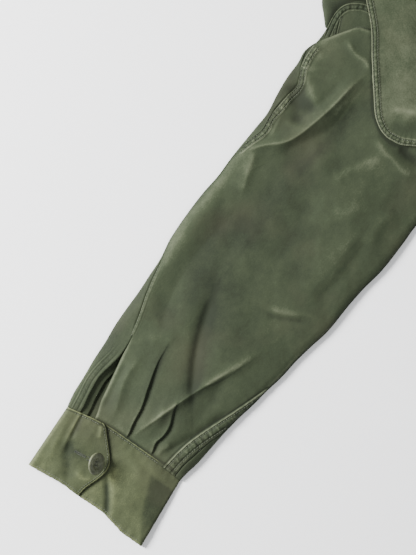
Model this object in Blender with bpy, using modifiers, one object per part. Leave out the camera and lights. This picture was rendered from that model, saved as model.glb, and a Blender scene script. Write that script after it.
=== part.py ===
"""A military coat, laid flat on its back with its front up.

The frame has +X to the wearer's left, +Y to the collar and +Z up from the surface.
Lengths are in millimetres and become metres when a mesh is made. The body is drawn
about its centre line, with y = 0 at the outer end of the shoulder. A sleeve is drawn
along its own axis: t runs from the cuff's hem to the shoulder, and s runs across it,
from the rear seam (less) to the inseam (more).
"""
import math
from collections import namedtuple

import bmesh
import bpy
import numpy as np

MM = 0.001
COAT = "military_coat"

# Cloth
WALL = 1.4
CUFF_WALL = 2.0
COLLAR_WALL = 2.4
SEAM_GAP = 0.3
LAY_GAP = 0.5
CUFF_SEAM_GAP = 0.8

# Body
HEM_Y = -752.0
COLLAR_TOP_Y = 98.0
FRAME_SHIFT = -0.5 * (HEM_Y + COLLAR_TOP_Y)
HALF_HEM = 290.0
ARMPIT = (-272.0, -221.0)
ARMHOLE_TOP = (-255.0, -60.0)
ARMHOLE_BEND = (-255.0, -150.0)
ARMHOLE_SEAM_END = 17.0
ARMHOLE_SEAM_LOW = 4.6
ARMHOLE_SEAM_RISE = 3.6
NECK_POINT = (-85.0, 48.0)
SHOULDER_SLOPE = 0.173
FRONT_NECK_Y = -75.0
FRONT_LAP = 22.0
LAP_LIFT = 2.4
BODY_TOP = 6.0
EDGE_TOP = WALL + LAY_GAP + WALL

# Sleeve
ARM_ANGLE = math.radians(32.55)
CUFF_CENTRE = (-707.1, -386.0)
EDGE_WIDTH = 5.0
EDGE_HALF = 3.0
PLEAT_DROP = 3.0
SLEEVE_ROWS = 21
ROWS_FROM = 72.0

# Buttons
BUTTON_RADIUS = 11.5
BUTTON_THICK = 3.6
BUTTON_HOLE_RADIUS = 1.1
BUTTON_HOLE_SPACE = 3.6
CUFF_BUTTON_AT = (-19.1, 38.1)
CUFF_BUTTON_TILT = math.radians(50.0)
CUFF_BUTTON_TURN = math.radians(-31.0)
FRONT_BUTTON_YS = (-105.0, -225.0, -345.0, -465.0, -585.0)

# Outline of the sleeve and how far its middle stands above its edges.
SleeveSection = namedtuple("SleeveSection", "t rear inseam crown")
SLEEVE_SECTIONS = (
    SleeveSection(60.0, -74.0, 60.0, 1.0),
    SleeveSection(90.0, -80.0, 61.0, 2.5),
    SleeveSection(120.0, -83.0, 64.0, 3.5),
    SleeveSection(160.0, -87.0, 67.7, 4.0),
    SleeveSection(200.0, -88.5, 73.7, 4.0),
    SleeveSection(240.0, -91.5, 78.7, 4.0),
    SleeveSection(280.0, -97.0, 85.2, 4.0),
    SleeveSection(320.0, -97.5, 86.7, 4.0),
    SleeveSection(360.0, -96.5, 91.2, 4.0),
    SleeveSection(400.0, -95.5, 92.0, 4.0),
    SleeveSection(440.0, -98.5, 93.0, 3.5),
    SleeveSection(480.0, -100.5, 95.5, 3.0),
    SleeveSection(520.0, -100.0, 97.0, 2.0),
    SleeveSection(600.0, -100.0, 99.0, 2.0),
)

# How far each panel's edge lies inside the outline at the rear seam and at the inseam.
# The two rear edges part below t = 158, where the sleeve is slit.
SeamSection = namedtuple("SeamSection", "t under_rear top_rear inseam")
SEAM_SECTIONS = (
    SeamSection(60.0, 12.5, 25.0, 16.0),
    SeamSection(92.0, 13.0, 20.5, 14.0),
    SeamSection(115.0, 15.4, 20.3, 11.5),
    SeamSection(138.0, 17.0, 20.5, 8.5),
    SeamSection(160.0, 19.2, 19.7, 7.0),
    SeamSection(180.0, 15.5, 16.0, 6.5),
    SeamSection(205.0, 10.0, 10.5, 6.0),
    SeamSection(236.0, 6.0, 6.5, 6.0),
    SeamSection(375.0, 6.0, 6.5, 6.0),
    SeamSection(405.0, 8.0, 8.5, 6.0),
    SeamSection(421.0, 7.0, 7.5, 6.0),
    SeamSection(455.0, 11.0, 11.5, 6.0),
    SeamSection(480.0, 7.0, 7.5, 6.0),
    SeamSection(600.0, 6.0, 6.5, 6.0),
)

# Lines that the topsleeve's columns follow: the two pleats, then the folds above them.
GuideSection = namedtuple("GuideSection", "t first second")
GUIDE_SECTIONS = (
    GuideSection(75.0, -10.0, 20.4),
    GuideSection(108.0, -15.0, 18.5),
    GuideSection(134.0, -23.0, 14.0),
    GuideSection(174.0, -33.0, 25.0),
    GuideSection(227.0, -36.0, 44.0),
    GuideSection(330.0, -38.0, 52.0),
    GuideSection(556.0, -42.0, 60.0),
)

# Soft folds of the sleeve: a path of (s, t) points, a half width and a height.
Fold = namedtuple("Fold", "path width height")
SLEEVE_FOLDS = (
    Fold(((-96, 372), (-78, 394), (-58, 420), (-48, 456), (-43, 496), (-38, 516)), 8.0, 4.0),
    Fold(((-80, 372), (-58, 392), (-40, 424), (-30, 462), (-26, 500)), 13.0, -1.8),
    Fold(((-75, 525), (-61, 520), (-50, 520), (-42, 514)), 6.0, 1.6),
    Fold(((-84, 480), (-70, 464), (-60, 450)), 10.0, 1.4),
    Fold(((-81, 333), (-42, 261), (-5, 196), (12, 160)), 17.0, -2.0),
    Fold(((-91, 353), (-88, 234), (-70, 160)), 9.0, 1.2),
    Fold(((14, 134), (25, 172), (38, 203), (46, 227)), 7.0, 2.2),
    Fold(((22, 270), (38, 275), (58, 282)), 8.0, 1.2),
    Fold(((36, 461), (48, 457), (62, 456)), 8.0, 1.2),
)

# Pleats: the path of the folded edge, its height, and how far the cloth slopes up to it.
Pleat = namedtuple("Pleat", "path height slope fade_from")
SLEEVE_PLEATS = (
    Pleat(((-8, 60), (-12, 90), (-15, 108), (-23, 134), (-33, 174), (-40, 200)), 3.2, 12.0, 130.0),
    Pleat(((20, 60), (19.4, 99), (17, 120), (14, 134), (10, 150)), 3.4, 11.0, 112.0),
)

# The folded edge of the topsleeve at the sleeve's head, as (s, t) points.
HEAD_FOLD = ((-100, 505), (-97, 511), (-87, 527), (-81, 537), (-74, 545), (-60, 551))

# The cuff's two edges, across its width.
CuffSection = namedtuple("CuffSection", "s hem top")
CUFF_SECTIONS = (
    CuffSection(-75.0, -4.2, 65.6),
    CuffSection(-60.0, -2.4, 69.5),
    CuffSection(-34.0, 1.3, 75.0),
    CuffSection(-10.0, 1.8, 76.8),
    CuffSection(18.0, 3.3, 77.9),
    CuffSection(43.0, -0.8, 79.0),
    CuffSection(68.0, -0.2, 78.0),
)

# Where the pointed end of the cuff stops, at each share of the cuff's height.
TabSection = namedtuple("TabSection", "share end")
TAB_SECTIONS = (
    TabSection(0.0, -12.7),
    TabSection(0.18, -11.0),
    TabSection(0.36, -6.6),
    TabSection(0.50, -5.2),
    TabSection(0.60, -7.6),
    TabSection(0.72, -15.0),
    TabSection(0.86, -25.0),
    TabSection(1.0, -35.0),
)
CuffSide = namedtuple("CuffSide", "hem top")
CUFF_REAR = CuffSide(-71.0, -75.2)
CUFF_INSEAM = CuffSide(68.2, 58.8)
CUFF_UNDER_END = -46.0
CUFF_UNDER_TOP = 5.8
CUFF_TAB_TOP = CUFF_UNDER_TOP + LAY_GAP + CUFF_WALL

# The free outer edge of the storm flap, from its round corner up to the shoulder,
# its free lower edge, and its edge at the centre front and the neck.
FLAP_CORNER = (-300.6, -144.0)
FLAP_OUTER = (FLAP_CORNER, (-303.6, -136.0), (-304.6, -126.0), (-303.4, -116.0), (-298.4, -99.0),
              (-288.0, -65.0), (-278.3, -37.0), (-273.0, -8.0), (-268.0, 14.0))
FLAP_LOWER = (FLAP_CORNER, (-296.3, -149.2), (-289.8, -155.5), (-276.1, -162.4), (-210.0, -193.0),
              (-140.0, -222.0), (-80.0, -240.0), (-30.0, -248.0))
FLAP_INNER = ((-30.0, -248.0), (-30.0, -150.0), (-33.0, -92.0), (-58.0, -30.0), (-92.0, 42.0))

# The collar from the centre front round to the centre back.
CollarSection = namedtuple("CollarSection", "inner_x inner_y outer_x outer_y")
COLLAR_SECTIONS = (
    CollarSection(-3.0, -76.0, -58.0, -130.0),
    CollarSection(-28.0, -62.0, -92.0, -98.0),
    CollarSection(-52.0, -36.0, -114.0, -52.0),
    CollarSection(-70.0, -2.0, -126.0, -5.0),
    CollarSection(-79.0, 28.0, -128.0, 34.0),
    CollarSection(-70.0, 38.0, -112.0, 68.0),
    CollarSection(-50.0, 35.0, -78.0, 88.0),
    CollarSection(-25.0, 31.5, -40.0, 96.0),
    CollarSection(0.0, 30.0, 0.0, COLLAR_TOP_Y),
)

# Colours: linear red, green and blue, roughness, metallic.
Finish = namedtuple("Finish", "name colour roughness metallic")
CLOTH = Finish("olive_sateen", (0.098, 0.115, 0.060), 0.85, 0.0)
CUFF_CLOTH = Finish("olive_sateen_faded", (0.125, 0.140, 0.075), 0.85, 0.0)
BUTTON = Finish("olive_button", (0.105, 0.110, 0.060), 0.45, 0.0)


def column(rows, name):
    """One named column of a table as an array."""
    return np.array([getattr(row, name) for row in rows], dtype=float)


def smoothstep(value):
    """Rise from 0 to 1 with level ends."""
    clipped = np.clip(value, 0.0, 1.0)
    return clipped * clipped * (3.0 - 2.0 * clipped)


def table_value(rows, key, name, at):
    """The table's named column, read at a value of its key column."""
    return np.interp(at, column(rows, key), column(rows, name))


def resample(points, count):
    """Points evenly spaced along a smooth curve through the given points."""
    path = np.array(points, dtype=float)
    before = 2.0 * path[0] - path[1]
    after = 2.0 * path[-1] - path[-2]
    padded = np.vstack([before, path, after])
    fine = []
    for index in range(len(path) - 1):
        p0, p1, p2, p3 = padded[index:index + 4]
        k = np.linspace(0.0, 1.0, 12, endpoint=False)[:, None]
        fine.append(0.5 * (2 * p1 + (p2 - p0) * k + (2 * p0 - 5 * p1 + 4 * p2 - p3) * k ** 2
                           + (3 * p1 - p0 - 3 * p2 + p3) * k ** 3))
    fine.append(path[-1:])
    curve = np.vstack(fine)
    steps = np.linalg.norm(np.diff(curve, axis=0), axis=1)
    along = np.concatenate([[0.0], np.cumsum(steps)]) / steps.sum()
    at = np.linspace(0.0, 1.0, count)
    return np.column_stack([np.interp(at, along, curve[:, axis]) for axis in range(curve.shape[1])])


def path_distance(path, s, t):
    """Signed distance to a path (more on its inseam side) and the nearest share along it."""
    points = np.array(path, dtype=float)
    best = np.full(np.shape(s), 1.0e9)
    signed = np.zeros(np.shape(s))
    share = np.zeros(np.shape(s))
    lengths = np.linalg.norm(np.diff(points, axis=0), axis=1)
    starts = np.concatenate([[0.0], np.cumsum(lengths)])
    for start, end, length, offset in zip(points[:-1], points[1:], lengths, starts):
        direction = (end - start) / length
        along = np.clip((s - start[0]) * direction[0] + (t - start[1]) * direction[1], 0.0, length)
        ds = s - (start[0] + along * direction[0])
        dt = t - (start[1] + along * direction[1])
        distance = np.hypot(ds, dt)
        side = np.where(ds * direction[1] - dt * direction[0] >= 0.0, 1.0, -1.0)
        nearer = distance < best
        best = np.where(nearer, distance, best)
        signed = np.where(nearer, side * distance, signed)
        share = np.where(nearer, (offset + along) / starts[-1], share)
    return signed, share


def fold_height(s, t):
    """Height that the soft folds and the pleats add to the top of a sleeve."""
    total = np.zeros(np.shape(s))
    for fold in SLEEVE_FOLDS:
        distance, share = path_distance(fold.path, s, t)
        ends = smoothstep(share / 0.2) * smoothstep((1.0 - share) / 0.2)
        total = total + fold.height * (0.25 + 0.75 * ends) * np.exp(-(distance / fold.width) ** 2)
    for pleat in SLEEVE_PLEATS:
        distance, _ = path_distance(pleat.path, s, t)
        rise = np.exp(np.minimum(distance, 0.0) / pleat.slope)
        drop = 1.0 - smoothstep(distance / PLEAT_DROP)
        top_t = pleat.path[-1][1]
        fade = 1.0 - smoothstep((t - pleat.fade_from) / (top_t - pleat.fade_from))
        total = total + pleat.height * fade * rise * drop
    return total


def armhole_curve(count):
    """The armhole seam of the front, from the armpit up, as (x, y) points."""
    k = np.linspace(0.0, 1.0, count)[:, None]
    start, bend, end = (np.array(point) for point in (ARMPIT, ARMHOLE_BEND, ARMHOLE_TOP))
    return (1 - k) ** 2 * start + 2 * k * (1 - k) * bend + k ** 2 * end


def armhole_top(y):
    """Height of the cloth along the armhole seam."""
    share = np.clip((y - ARMPIT[1]) / (ARMHOLE_SEAM_END - ARMPIT[1]), 0.0, 1.0)
    return ARMHOLE_SEAM_LOW + ARMHOLE_SEAM_RISE * np.sin(math.pi * share)


def to_garment(s, t):
    """Sleeve coordinates to the body's x and y, for the right sleeve."""
    x = CUFF_CENTRE[0] + t * math.cos(ARM_ANGLE) + s * math.sin(ARM_ANGLE)
    y = CUFF_CENTRE[1] + t * math.sin(ARM_ANGLE) - s * math.cos(ARM_ANGLE)
    return x, y


def to_sleeve(x, y):
    """The body's x and y to sleeve coordinates, for the right sleeve."""
    dx = x - CUFF_CENTRE[0]
    dy = y - CUFF_CENTRE[1]
    s = dx * math.sin(ARM_ANGLE) - dy * math.cos(ARM_ANGLE)
    t = dx * math.cos(ARM_ANGLE) + dy * math.sin(ARM_ANGLE)
    return s, t


def topsleeve_end(s):
    """Where the topsleeve ends: its folded edge at the head, then the armhole seam."""
    fold = np.array(HEAD_FOLD, dtype=float)
    seam = armhole_curve(9)[::-1]
    seam_s, seam_t = to_sleeve(seam[:, 0], seam[:, 1])
    all_s = np.concatenate([fold[:, 0], seam_s])
    all_t = np.concatenate([fold[:, 1], seam_t - SEAM_GAP])
    return np.interp(s, all_s, all_t)


def sleeve_top(s, t):
    """Height of the sleeve's upper face."""
    rear = table_value(SLEEVE_SECTIONS, "t", "rear", t)
    inseam = table_value(SLEEVE_SECTIONS, "t", "inseam", t)
    crown = table_value(SLEEVE_SECTIONS, "t", "crown", t)
    across = np.clip((s - rear) / (inseam - rear), 0.0, 1.0)
    free = 2.0 * EDGE_HALF + crown * np.sin(math.pi * across) ** 0.7 + fold_height(s, t)
    _, y = to_garment(s, t)
    to_end = smoothstep((topsleeve_end(s) - t) / 45.0)
    at_seam = smoothstep((s + 75.0) / 40.0)
    sewn = armhole_top(y) + (free - armhole_top(y)) * to_end
    return np.maximum(free + (sewn - free) * at_seam, EDGE_TOP)


def ring_point(t, girth, from_inseam):
    """A point of the sleeve's section, girth mm over the top from one outermost edge."""
    rear = table_value(SLEEVE_SECTIONS, "t", "rear", t)
    inseam = table_value(SLEEVE_SECTIONS, "t", "inseam", t)
    angle = np.clip(girth / EDGE_WIDTH, 0.0, 1.0) * math.pi / 2.0
    inward = EDGE_WIDTH * (1.0 - np.cos(angle)) + np.maximum(girth - EDGE_WIDTH, 0.0)
    s = np.where(from_inseam, inseam - inward, rear + inward)
    z = EDGE_HALF + (sleeve_top(s, t) - EDGE_HALF) * np.sin(angle)
    return s, z


def cuff_edge(s, name):
    """The t of the cuff's hem or top edge at a place across it."""
    return table_value(CUFF_SECTIONS, "s", name, s)


def topsleeve_grid():
    """Grid of the topsleeve's outer face, columns along the pleats."""
    stretch_counts = (8, 1, 4, 1, 6)
    grid = []
    for stretch, count in enumerate(stretch_counts):
        first = 0 if stretch == 0 else 1
        for step in range(first, count + 1):
            grid.append(topsleeve_column(stretch, step / count))
    return np.array(grid)


def topsleeve_rows(stretch, share):
    """The t of each row of a topsleeve column, closer together near the cuff."""
    v = np.linspace(0.0, 1.0, SLEEVE_ROWS + 1) ** 1.15
    t_start = ROWS_FROM
    t_end = topsleeve_end(0.0)
    for _ in range(4):
        t_start = sleeve_start(topsleeve_line(stretch, share, np.array(t_start)))
        t_end = float(topsleeve_end(topsleeve_line(stretch, share, np.array(t_end))))
    rows = ROWS_FROM + (t_end - ROWS_FROM) * v
    rows[0] = t_start
    return rows


def topsleeve_column(stretch, share):
    """One column of the topsleeve, at a share of a stretch between two guide lines."""
    t = topsleeve_rows(stretch, share)
    s = topsleeve_line(stretch, share, t)
    rear = table_value(SLEEVE_SECTIONS, "t", "rear", t)
    inseam = table_value(SLEEVE_SECTIONS, "t", "inseam", t)
    rear_angle = np.arccos(np.clip(1.0 - (s - rear) / EDGE_WIDTH, 0.0, 1.0))
    inseam_angle = np.arccos(np.clip(1.0 - (inseam - s) / EDGE_WIDTH, 0.0, 1.0))
    lift = np.sin(np.minimum(rear_angle, inseam_angle))
    z = EDGE_HALF + (sleeve_top(s, t) - EDGE_HALF) * lift
    x, y = to_garment(s, t)
    return np.column_stack([x, y, z])


def topsleeve_line(stretch, share, t):
    """The s of a line that runs at a share of a stretch between two guide lines."""
    rear, _ = ring_point(t, table_value(SEAM_SECTIONS, "t", "top_rear", t), False)
    inseam, _ = ring_point(t, table_value(SEAM_SECTIONS, "t", "inseam", t) + LAY_GAP, True)
    first = table_value(GUIDE_SECTIONS, "t", "first", t)
    second = table_value(GUIDE_SECTIONS, "t", "second", t)
    guides = (rear, first, first + PLEAT_DROP, second, second + PLEAT_DROP, inseam)
    return guides[stretch] + share * (guides[stretch + 1] - guides[stretch])


def floor_armhole():
    """The armhole seam of the under layer, from the rear outline to the armpit."""
    seam = armhole_curve(5)[::-1]
    head = np.array([(-320.0, -19.0), (-296.0, -9.0), (-275.0, -9.0), (-262.0, -25.0)])
    return np.vstack([head, seam])


def undersleeve_grid():
    """Grid of the undersleeve's outer face: up round the rear edge, along the bottom, up again."""
    turned_up = (1.0, 0.6, 0.3, 0.0)
    turn_down = (0.35, 0.68)
    end_x, end_y = floor_armhole().T
    end_s, end_t = to_sleeve(end_x, end_y)
    rear_rows = np.append(topsleeve_rows(0, 0.0), end_t[0])
    inseam_rows = topsleeve_rows(4, 1.0)
    inseam_rows = np.insert(inseam_rows, 1, 0.5 * (inseam_rows[0] + inseam_rows[1]))
    columns = [turned_column(share, rear_rows, False) for share in turned_up]
    columns += [bottom_edge_column(share, rear_rows, False) for share in turn_down]
    columns += [bottom_column(index, end_s, end_t, len(rear_rows)) for index in range(len(end_s))]
    columns += [bottom_edge_column(share, inseam_rows, True) for share in turn_down[::-1]]
    columns += [turned_column(share, inseam_rows, True) for share in turned_up[::-1]]
    return np.array(columns[::-1])


def sleeve_start(s):
    """The t at which the sleeve starts, just past the cuff's top edge."""
    return float(cuff_edge(s, "top")) + CUFF_SEAM_GAP


def turned_column(share, rows, from_inseam):
    """A column on the part of the undersleeve that is turned up onto the top."""
    name = "inseam" if from_inseam else "under_rear"
    t = rows.copy()
    first_s, _ = ring_point(t[0], share * table_value(SEAM_SECTIONS, "t", name, t[0]), from_inseam)
    t[0] = sleeve_start(first_s)
    s, z = ring_point(t, share * table_value(SEAM_SECTIONS, "t", name, t), from_inseam)
    if from_inseam:
        t[-1] = topsleeve_end(s[-1])
    x, y = to_garment(s, t)
    return np.column_stack([x, y, z])


def bottom_edge_column(share, rows, from_inseam):
    """A column on the lower quarter of the rounded edge."""
    edge = "inseam" if from_inseam else "rear"
    t = rows.copy()
    t[0] = sleeve_start(getattr(SLEEVE_SECTIONS[0], edge))
    angle = share * math.pi / 2.0
    inward = EDGE_WIDTH * (1.0 - math.cos(angle))
    outline = table_value(SLEEVE_SECTIONS, "t", edge, t)
    s = outline - inward if from_inseam else outline + inward
    if from_inseam:
        t[-1] = topsleeve_end(s[-1])
    x, y = to_garment(s, t)
    return np.column_stack([x, y, np.full(len(t), EDGE_HALF * (1.0 - math.sin(angle)))])


def bottom_column(index, end_s, end_t, rows):
    """A column on the flat bottom, which runs to one point of the armhole seam."""
    v = np.linspace(0.0, 1.0, rows)
    last = len(end_s) - 1
    start_share = index / last
    first = SLEEVE_SECTIONS[0]
    start_width = first.inseam - first.rear - 2.0 * EDGE_WIDTH
    start_t = sleeve_start(first.rear + EDGE_WIDTH + start_share * start_width)
    finish_t = end_t[index] - (SEAM_GAP if index == last else 0.0)
    t = start_t + (finish_t - start_t) * v
    left = table_value(SLEEVE_SECTIONS, "t", "rear", t) + EDGE_WIDTH
    right = table_value(SLEEVE_SECTIONS, "t", "inseam", t) - EDGE_WIDTH
    smallest = 0.012 * index
    end_share = np.clip((end_s[index] - left[-1]) / (right[-1] - left[-1]), smallest, 1.0)
    end_share = {0: 0.0, last: 1.0}.get(index, end_share)
    share = start_share + (end_share - start_share) * v ** 2
    x, y = to_garment(left + share * (right - left), t)
    return np.column_stack([x, y, np.zeros(len(v))])


def cuff_grid():
    """Grid of the cuff's outer face: under end, inseam edge, bottom, rear edge, pointed end."""
    shares = column(TAB_SECTIONS, "share")
    ends = column(TAB_SECTIONS, "end")
    rear = CUFF_REAR.hem + (CUFF_REAR.top - CUFF_REAR.hem) * shares
    inseam = CUFF_INSEAM.hem + (CUFF_INSEAM.top - CUFF_INSEAM.hem) * shares
    columns = []
    for k in np.linspace(0.0, 1.0, 8):
        s = CUFF_UNDER_END + k * (inseam - EDGE_WIDTH - CUFF_UNDER_END)
        columns.append((s, np.full(len(shares), CUFF_UNDER_TOP)))
    columns += cuff_turn(inseam, -1.0, 0.5 * CUFF_UNDER_TOP, (60.0, 30.0, 0.0, -30.0, -60.0))
    for k in np.linspace(0.0, 1.0, 7):
        s = inseam - EDGE_WIDTH + k * (rear - inseam + 2.0 * EDGE_WIDTH)
        columns.append((s, np.zeros(len(shares))))
    columns += cuff_turn(rear, 1.0, 0.5 * CUFF_TAB_TOP, (-60.0, -30.0, 0.0, 30.0, 60.0))
    for k in np.linspace(0.0, 1.0, 6):
        s = rear + EDGE_WIDTH + k * (ends - rear - EDGE_WIDTH)
        columns.append((s, np.full(len(shares), CUFF_TAB_TOP)))
    grid = []
    for s, z in columns:
        hem = cuff_edge(s, "hem")
        t = hem + (cuff_edge(s, "top") - hem) * shares
        x, y = to_garment(s, t)
        grid.append(np.column_stack([x, y, z]))
    return np.array(grid)


def cuff_turn(edge, inward, half, angles):
    """Columns round one edge of the cuff, from the outermost line by an angle up or down."""
    turn = []
    for degrees in angles:
        angle = math.radians(degrees)
        s = edge + inward * EDGE_WIDTH * (1.0 - math.cos(angle))
        turn.append((s, np.full(len(edge), half * (1.0 + math.sin(angle)))))
    return turn


def shoulder_y(x):
    """Height up the body of the shoulder seam."""
    return NECK_POINT[1] - SHOULDER_SLOPE * (np.abs(x) - abs(NECK_POINT[0]))


def front_top(x, y):
    """Height of a front's upper face, for the right side, where x is less than nothing."""
    side = np.interp(y, (HEM_Y, ARMPIT[1]), (-HALF_HEM, ARMPIT[0]))
    seam = armhole_curve(9)
    edge_x = np.where(y < ARMPIT[1], side, np.interp(y, seam[:, 1], seam[:, 0]))
    edge_z = np.where(y < ARMPIT[1], EDGE_TOP, armhole_top(y))
    inside = np.abs(x - edge_x)
    middle = BODY_TOP + 1.2 * np.sin(x / 57.0 + 0.6) * np.sin(y / 93.0)
    middle = EDGE_TOP + (middle - EDGE_TOP) * smoothstep((y - HEM_Y) / 40.0)
    middle = EDGE_TOP + (middle - EDGE_TOP) * smoothstep((shoulder_y(x) - y) / 35.0 + 0.2)
    return edge_z + (middle - edge_z) * smoothstep(inside / 45.0)


def front_edges():
    """The right front's hem, top, centre edge and side, as curves that meet at its corners."""
    rows_side = 7
    rows_armhole = 8
    side = np.column_stack([np.linspace(-HALF_HEM, ARMPIT[0], rows_side + 1)[:-1],
                            np.linspace(HEM_Y, ARMPIT[1], rows_side + 1)[:-1]])
    head_x = -262.0
    head = np.array([(-256.0, -30.0), (head_x, float(shoulder_y(head_x)))])
    outer = np.vstack([side, armhole_curve(rows_armhole + 1), head])
    outer = outer + np.array([SEAM_GAP, 0.0])
    steps = np.linalg.norm(np.diff(outer, axis=0), axis=1)
    along = np.concatenate([[0.0], np.cumsum(steps)]) / steps.sum()
    centre = np.column_stack([np.full(len(along), FRONT_LAP),
                              HEM_Y + along * (FRONT_NECK_Y - HEM_Y)])
    neck = resample(((FRONT_LAP, FRONT_NECK_Y), (0.0, -76.0), (-42.0, -48.0), (-68.0, 0.0), NECK_POINT), 6)
    shoulder_x = np.linspace(NECK_POINT[0], outer[-1][0], 7)[1:]
    top = np.vstack([neck, np.column_stack([shoulder_x, shoulder_y(shoulder_x)])])
    top[-1] = outer[-1]
    hem = np.column_stack([np.linspace(FRONT_LAP, outer[0][0], len(top)), np.full(len(top), HEM_Y)])
    return hem, top, centre, outer, along


def blended_patch(lower, upper, first, last, along):
    """A patch blended between four edge curves that share their corners."""
    steps = np.linalg.norm(np.diff(lower, axis=0), axis=1)
    across = (np.concatenate([[0.0], np.cumsum(steps)]) / steps.sum())[:, None, None]
    up = np.asarray(along)[None, :, None]
    ruled_up = (1 - up) * lower[:, None, :] + up * upper[:, None, :]
    ruled_across = (1 - across) * first[None, :, :] + across * last[None, :, :]
    corners = ((1 - across) * ((1 - up) * lower[0] + up * upper[0])
               + across * ((1 - up) * lower[-1] + up * upper[-1]))
    return ruled_up + ruled_across - corners


def front_grid(lift):
    """Grid of the right front's upper face, raised by lift where the fronts lap."""
    hem, top, centre, outer, along = front_edges()
    flat = blended_patch(hem, top, centre, outer, along)
    x, y = flat[..., 0], flat[..., 1]
    z = front_top(-np.abs(x), y) + lift * smoothstep((x + 62.0) / 34.0)
    return np.dstack([x, y, z])[::-1]


def cover_top(x, y):
    """Height of what lies under the storm flap."""
    s, t = to_sleeve(x, y)
    seam = armhole_curve(9)
    seam_x = np.interp(y, seam[:, 1], seam[:, 0])
    return np.where(x > seam_x, front_top(x, y), sleeve_top(s, np.minimum(t, topsleeve_end(s))))


def highest_near(height, x, y, reach):
    """The largest value of a height function close to each point."""
    offsets = (-reach, 0.0, reach)
    return np.max([height(x + dx, y + dy) for dx in offsets for dy in offsets], axis=0)


def flap_grid():
    """Grid of the storm flap's upper face."""
    rows = 11
    outer = resample(FLAP_OUTER, rows + 1)
    lower = resample(FLAP_LOWER, 13)
    inner = resample(FLAP_INNER, rows + 1)
    upper_x = np.linspace(outer[-1][0], inner[-1][0], len(lower))
    upper = np.column_stack([upper_x, shoulder_y(upper_x) - 1.0])
    upper[0] = outer[-1]
    upper[-1] = inner[-1]
    flat = blended_patch(lower, upper, outer, inner, np.linspace(0.0, 1.0, rows + 1))
    x, y = flat[..., 0], flat[..., 1]
    cover = highest_near(cover_top, x, y, 9.0)
    lapped = LAP_LIFT * smoothstep((x + 72.0) / 34.0)
    return np.dstack([x, y, cover + lapped + LAY_GAP + WALL])


def collar_cover(x, y):
    """Height of what lies under the collar."""
    on_front = smoothstep((shoulder_y(x) + 6.0 - y) / 12.0)
    lapped = LAP_LIFT * smoothstep((62.0 - np.abs(x)) / 34.0)
    fronts = front_top(-np.abs(x), np.minimum(y, shoulder_y(x))) + lapped
    flap = 2.0 * LAY_GAP + WALL + 2.0
    return WALL + (fronts + flap - WALL) * on_front


def collar_grid():
    """Grid of the collar's upper face, from the right point round the neck to the left one."""
    inner = resample([(row.inner_x, row.inner_y) for row in COLLAR_SECTIONS], 15)
    outer = resample([(row.outer_x, row.outer_y) for row in COLLAR_SECTIONS], 15)
    mirror = np.array([-1.0, 1.0])
    inner = np.vstack([inner, inner[-2::-1] * mirror])
    outer = np.vstack([outer, outer[-2::-1] * mirror])
    share = np.linspace(0.0, 1.0, 5)[None, :, None]
    flat = inner[:, None, :] * (1.0 - share) + outer[:, None, :] * share
    x, y = flat[..., 0], flat[..., 1]
    cover = highest_near(collar_cover, x, y, 8.0)
    return np.dstack([x, y, cover + LAY_GAP + COLLAR_WALL])


def to_metres(points):
    """Millimetres about the shoulder level to metres about the coat's own origin."""
    placed = np.array(points, dtype=float)
    placed[..., 1] += FRAME_SHIFT
    return placed * MM


def make_material(finish):
    """One Principled material."""
    material = bpy.data.materials.get(finish.name)
    if material:
        return material
    material = bpy.data.materials.new(finish.name)
    material.use_nodes = True
    shader = material.node_tree.nodes["Principled BSDF"]
    shader.inputs["Base Color"].default_value = (*finish.colour, 1.0)
    shader.inputs["Roughness"].default_value = finish.roughness
    shader.inputs["Metallic"].default_value = finish.metallic
    return material


def link_object(name, data, collection, finish):
    """A new object of a collection, with its material."""
    piece = bpy.data.objects.new(name, data)
    collection.objects.link(piece)
    piece.data.materials.append(make_material(finish))
    return piece


def cloth_panel(name, grid, wall, collection, finish, mirrored=False):
    """A wall of cloth whose outer face is the grid, thickened inwards with Solidify."""
    points = to_metres(grid)
    if mirrored:
        points[..., 0] *= -1.0
    across, along = points.shape[:2]
    index = np.arange(across * along).reshape(across, along)
    a, b = index[:-1, :-1].ravel(), index[1:, :-1].ravel()
    c, d = index[1:, 1:].ravel(), index[:-1, 1:].ravel()
    faces = np.column_stack([a, b, c, d])
    if mirrored:
        faces = faces[:, ::-1]
    mesh = bpy.data.meshes.new(name)
    mesh.from_pydata(points.reshape(-1, 3).tolist(), [], faces.tolist())
    mesh.shade_smooth()
    piece = link_object(name, mesh, collection, finish)
    thickness = piece.modifiers.new("cloth_wall", "SOLIDIFY")
    thickness.thickness = wall * MM
    thickness.offset = -1.0
    return piece


def flat_panel(name, outline, wall, collection, finish):
    """A flat panel that lies on the surface, from its closed outline."""
    curve = bpy.data.curves.new(name, "CURVE")
    curve.dimensions = "2D"
    curve.fill_mode = "BOTH"
    curve.extrude = 0.5 * wall * MM
    spline = curve.splines.new("POLY")
    spline.points.add(len(outline) - 1)
    placed = to_metres(np.column_stack([outline, np.zeros(len(outline))]))
    spline.points.foreach_set("co", np.column_stack([placed, np.ones(len(placed))]).ravel())
    spline.use_cyclic_u = True
    source = bpy.data.objects.new(name + "_outline", curve)
    collection.objects.link(source)
    bpy.context.view_layer.update()
    evaluated = source.evaluated_get(bpy.context.evaluated_depsgraph_get())
    mesh = bpy.data.meshes.new_from_object(evaluated)
    bpy.data.objects.remove(source)
    cage = bmesh.new()
    cage.from_mesh(mesh)
    bmesh.ops.remove_doubles(cage, verts=cage.verts, dist=0.00001)
    cage.to_mesh(mesh)
    cage.free()
    mesh.materials.clear()
    panel = link_object(name, mesh, collection, finish)
    panel.location.z = 0.5 * wall * MM
    return panel


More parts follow.
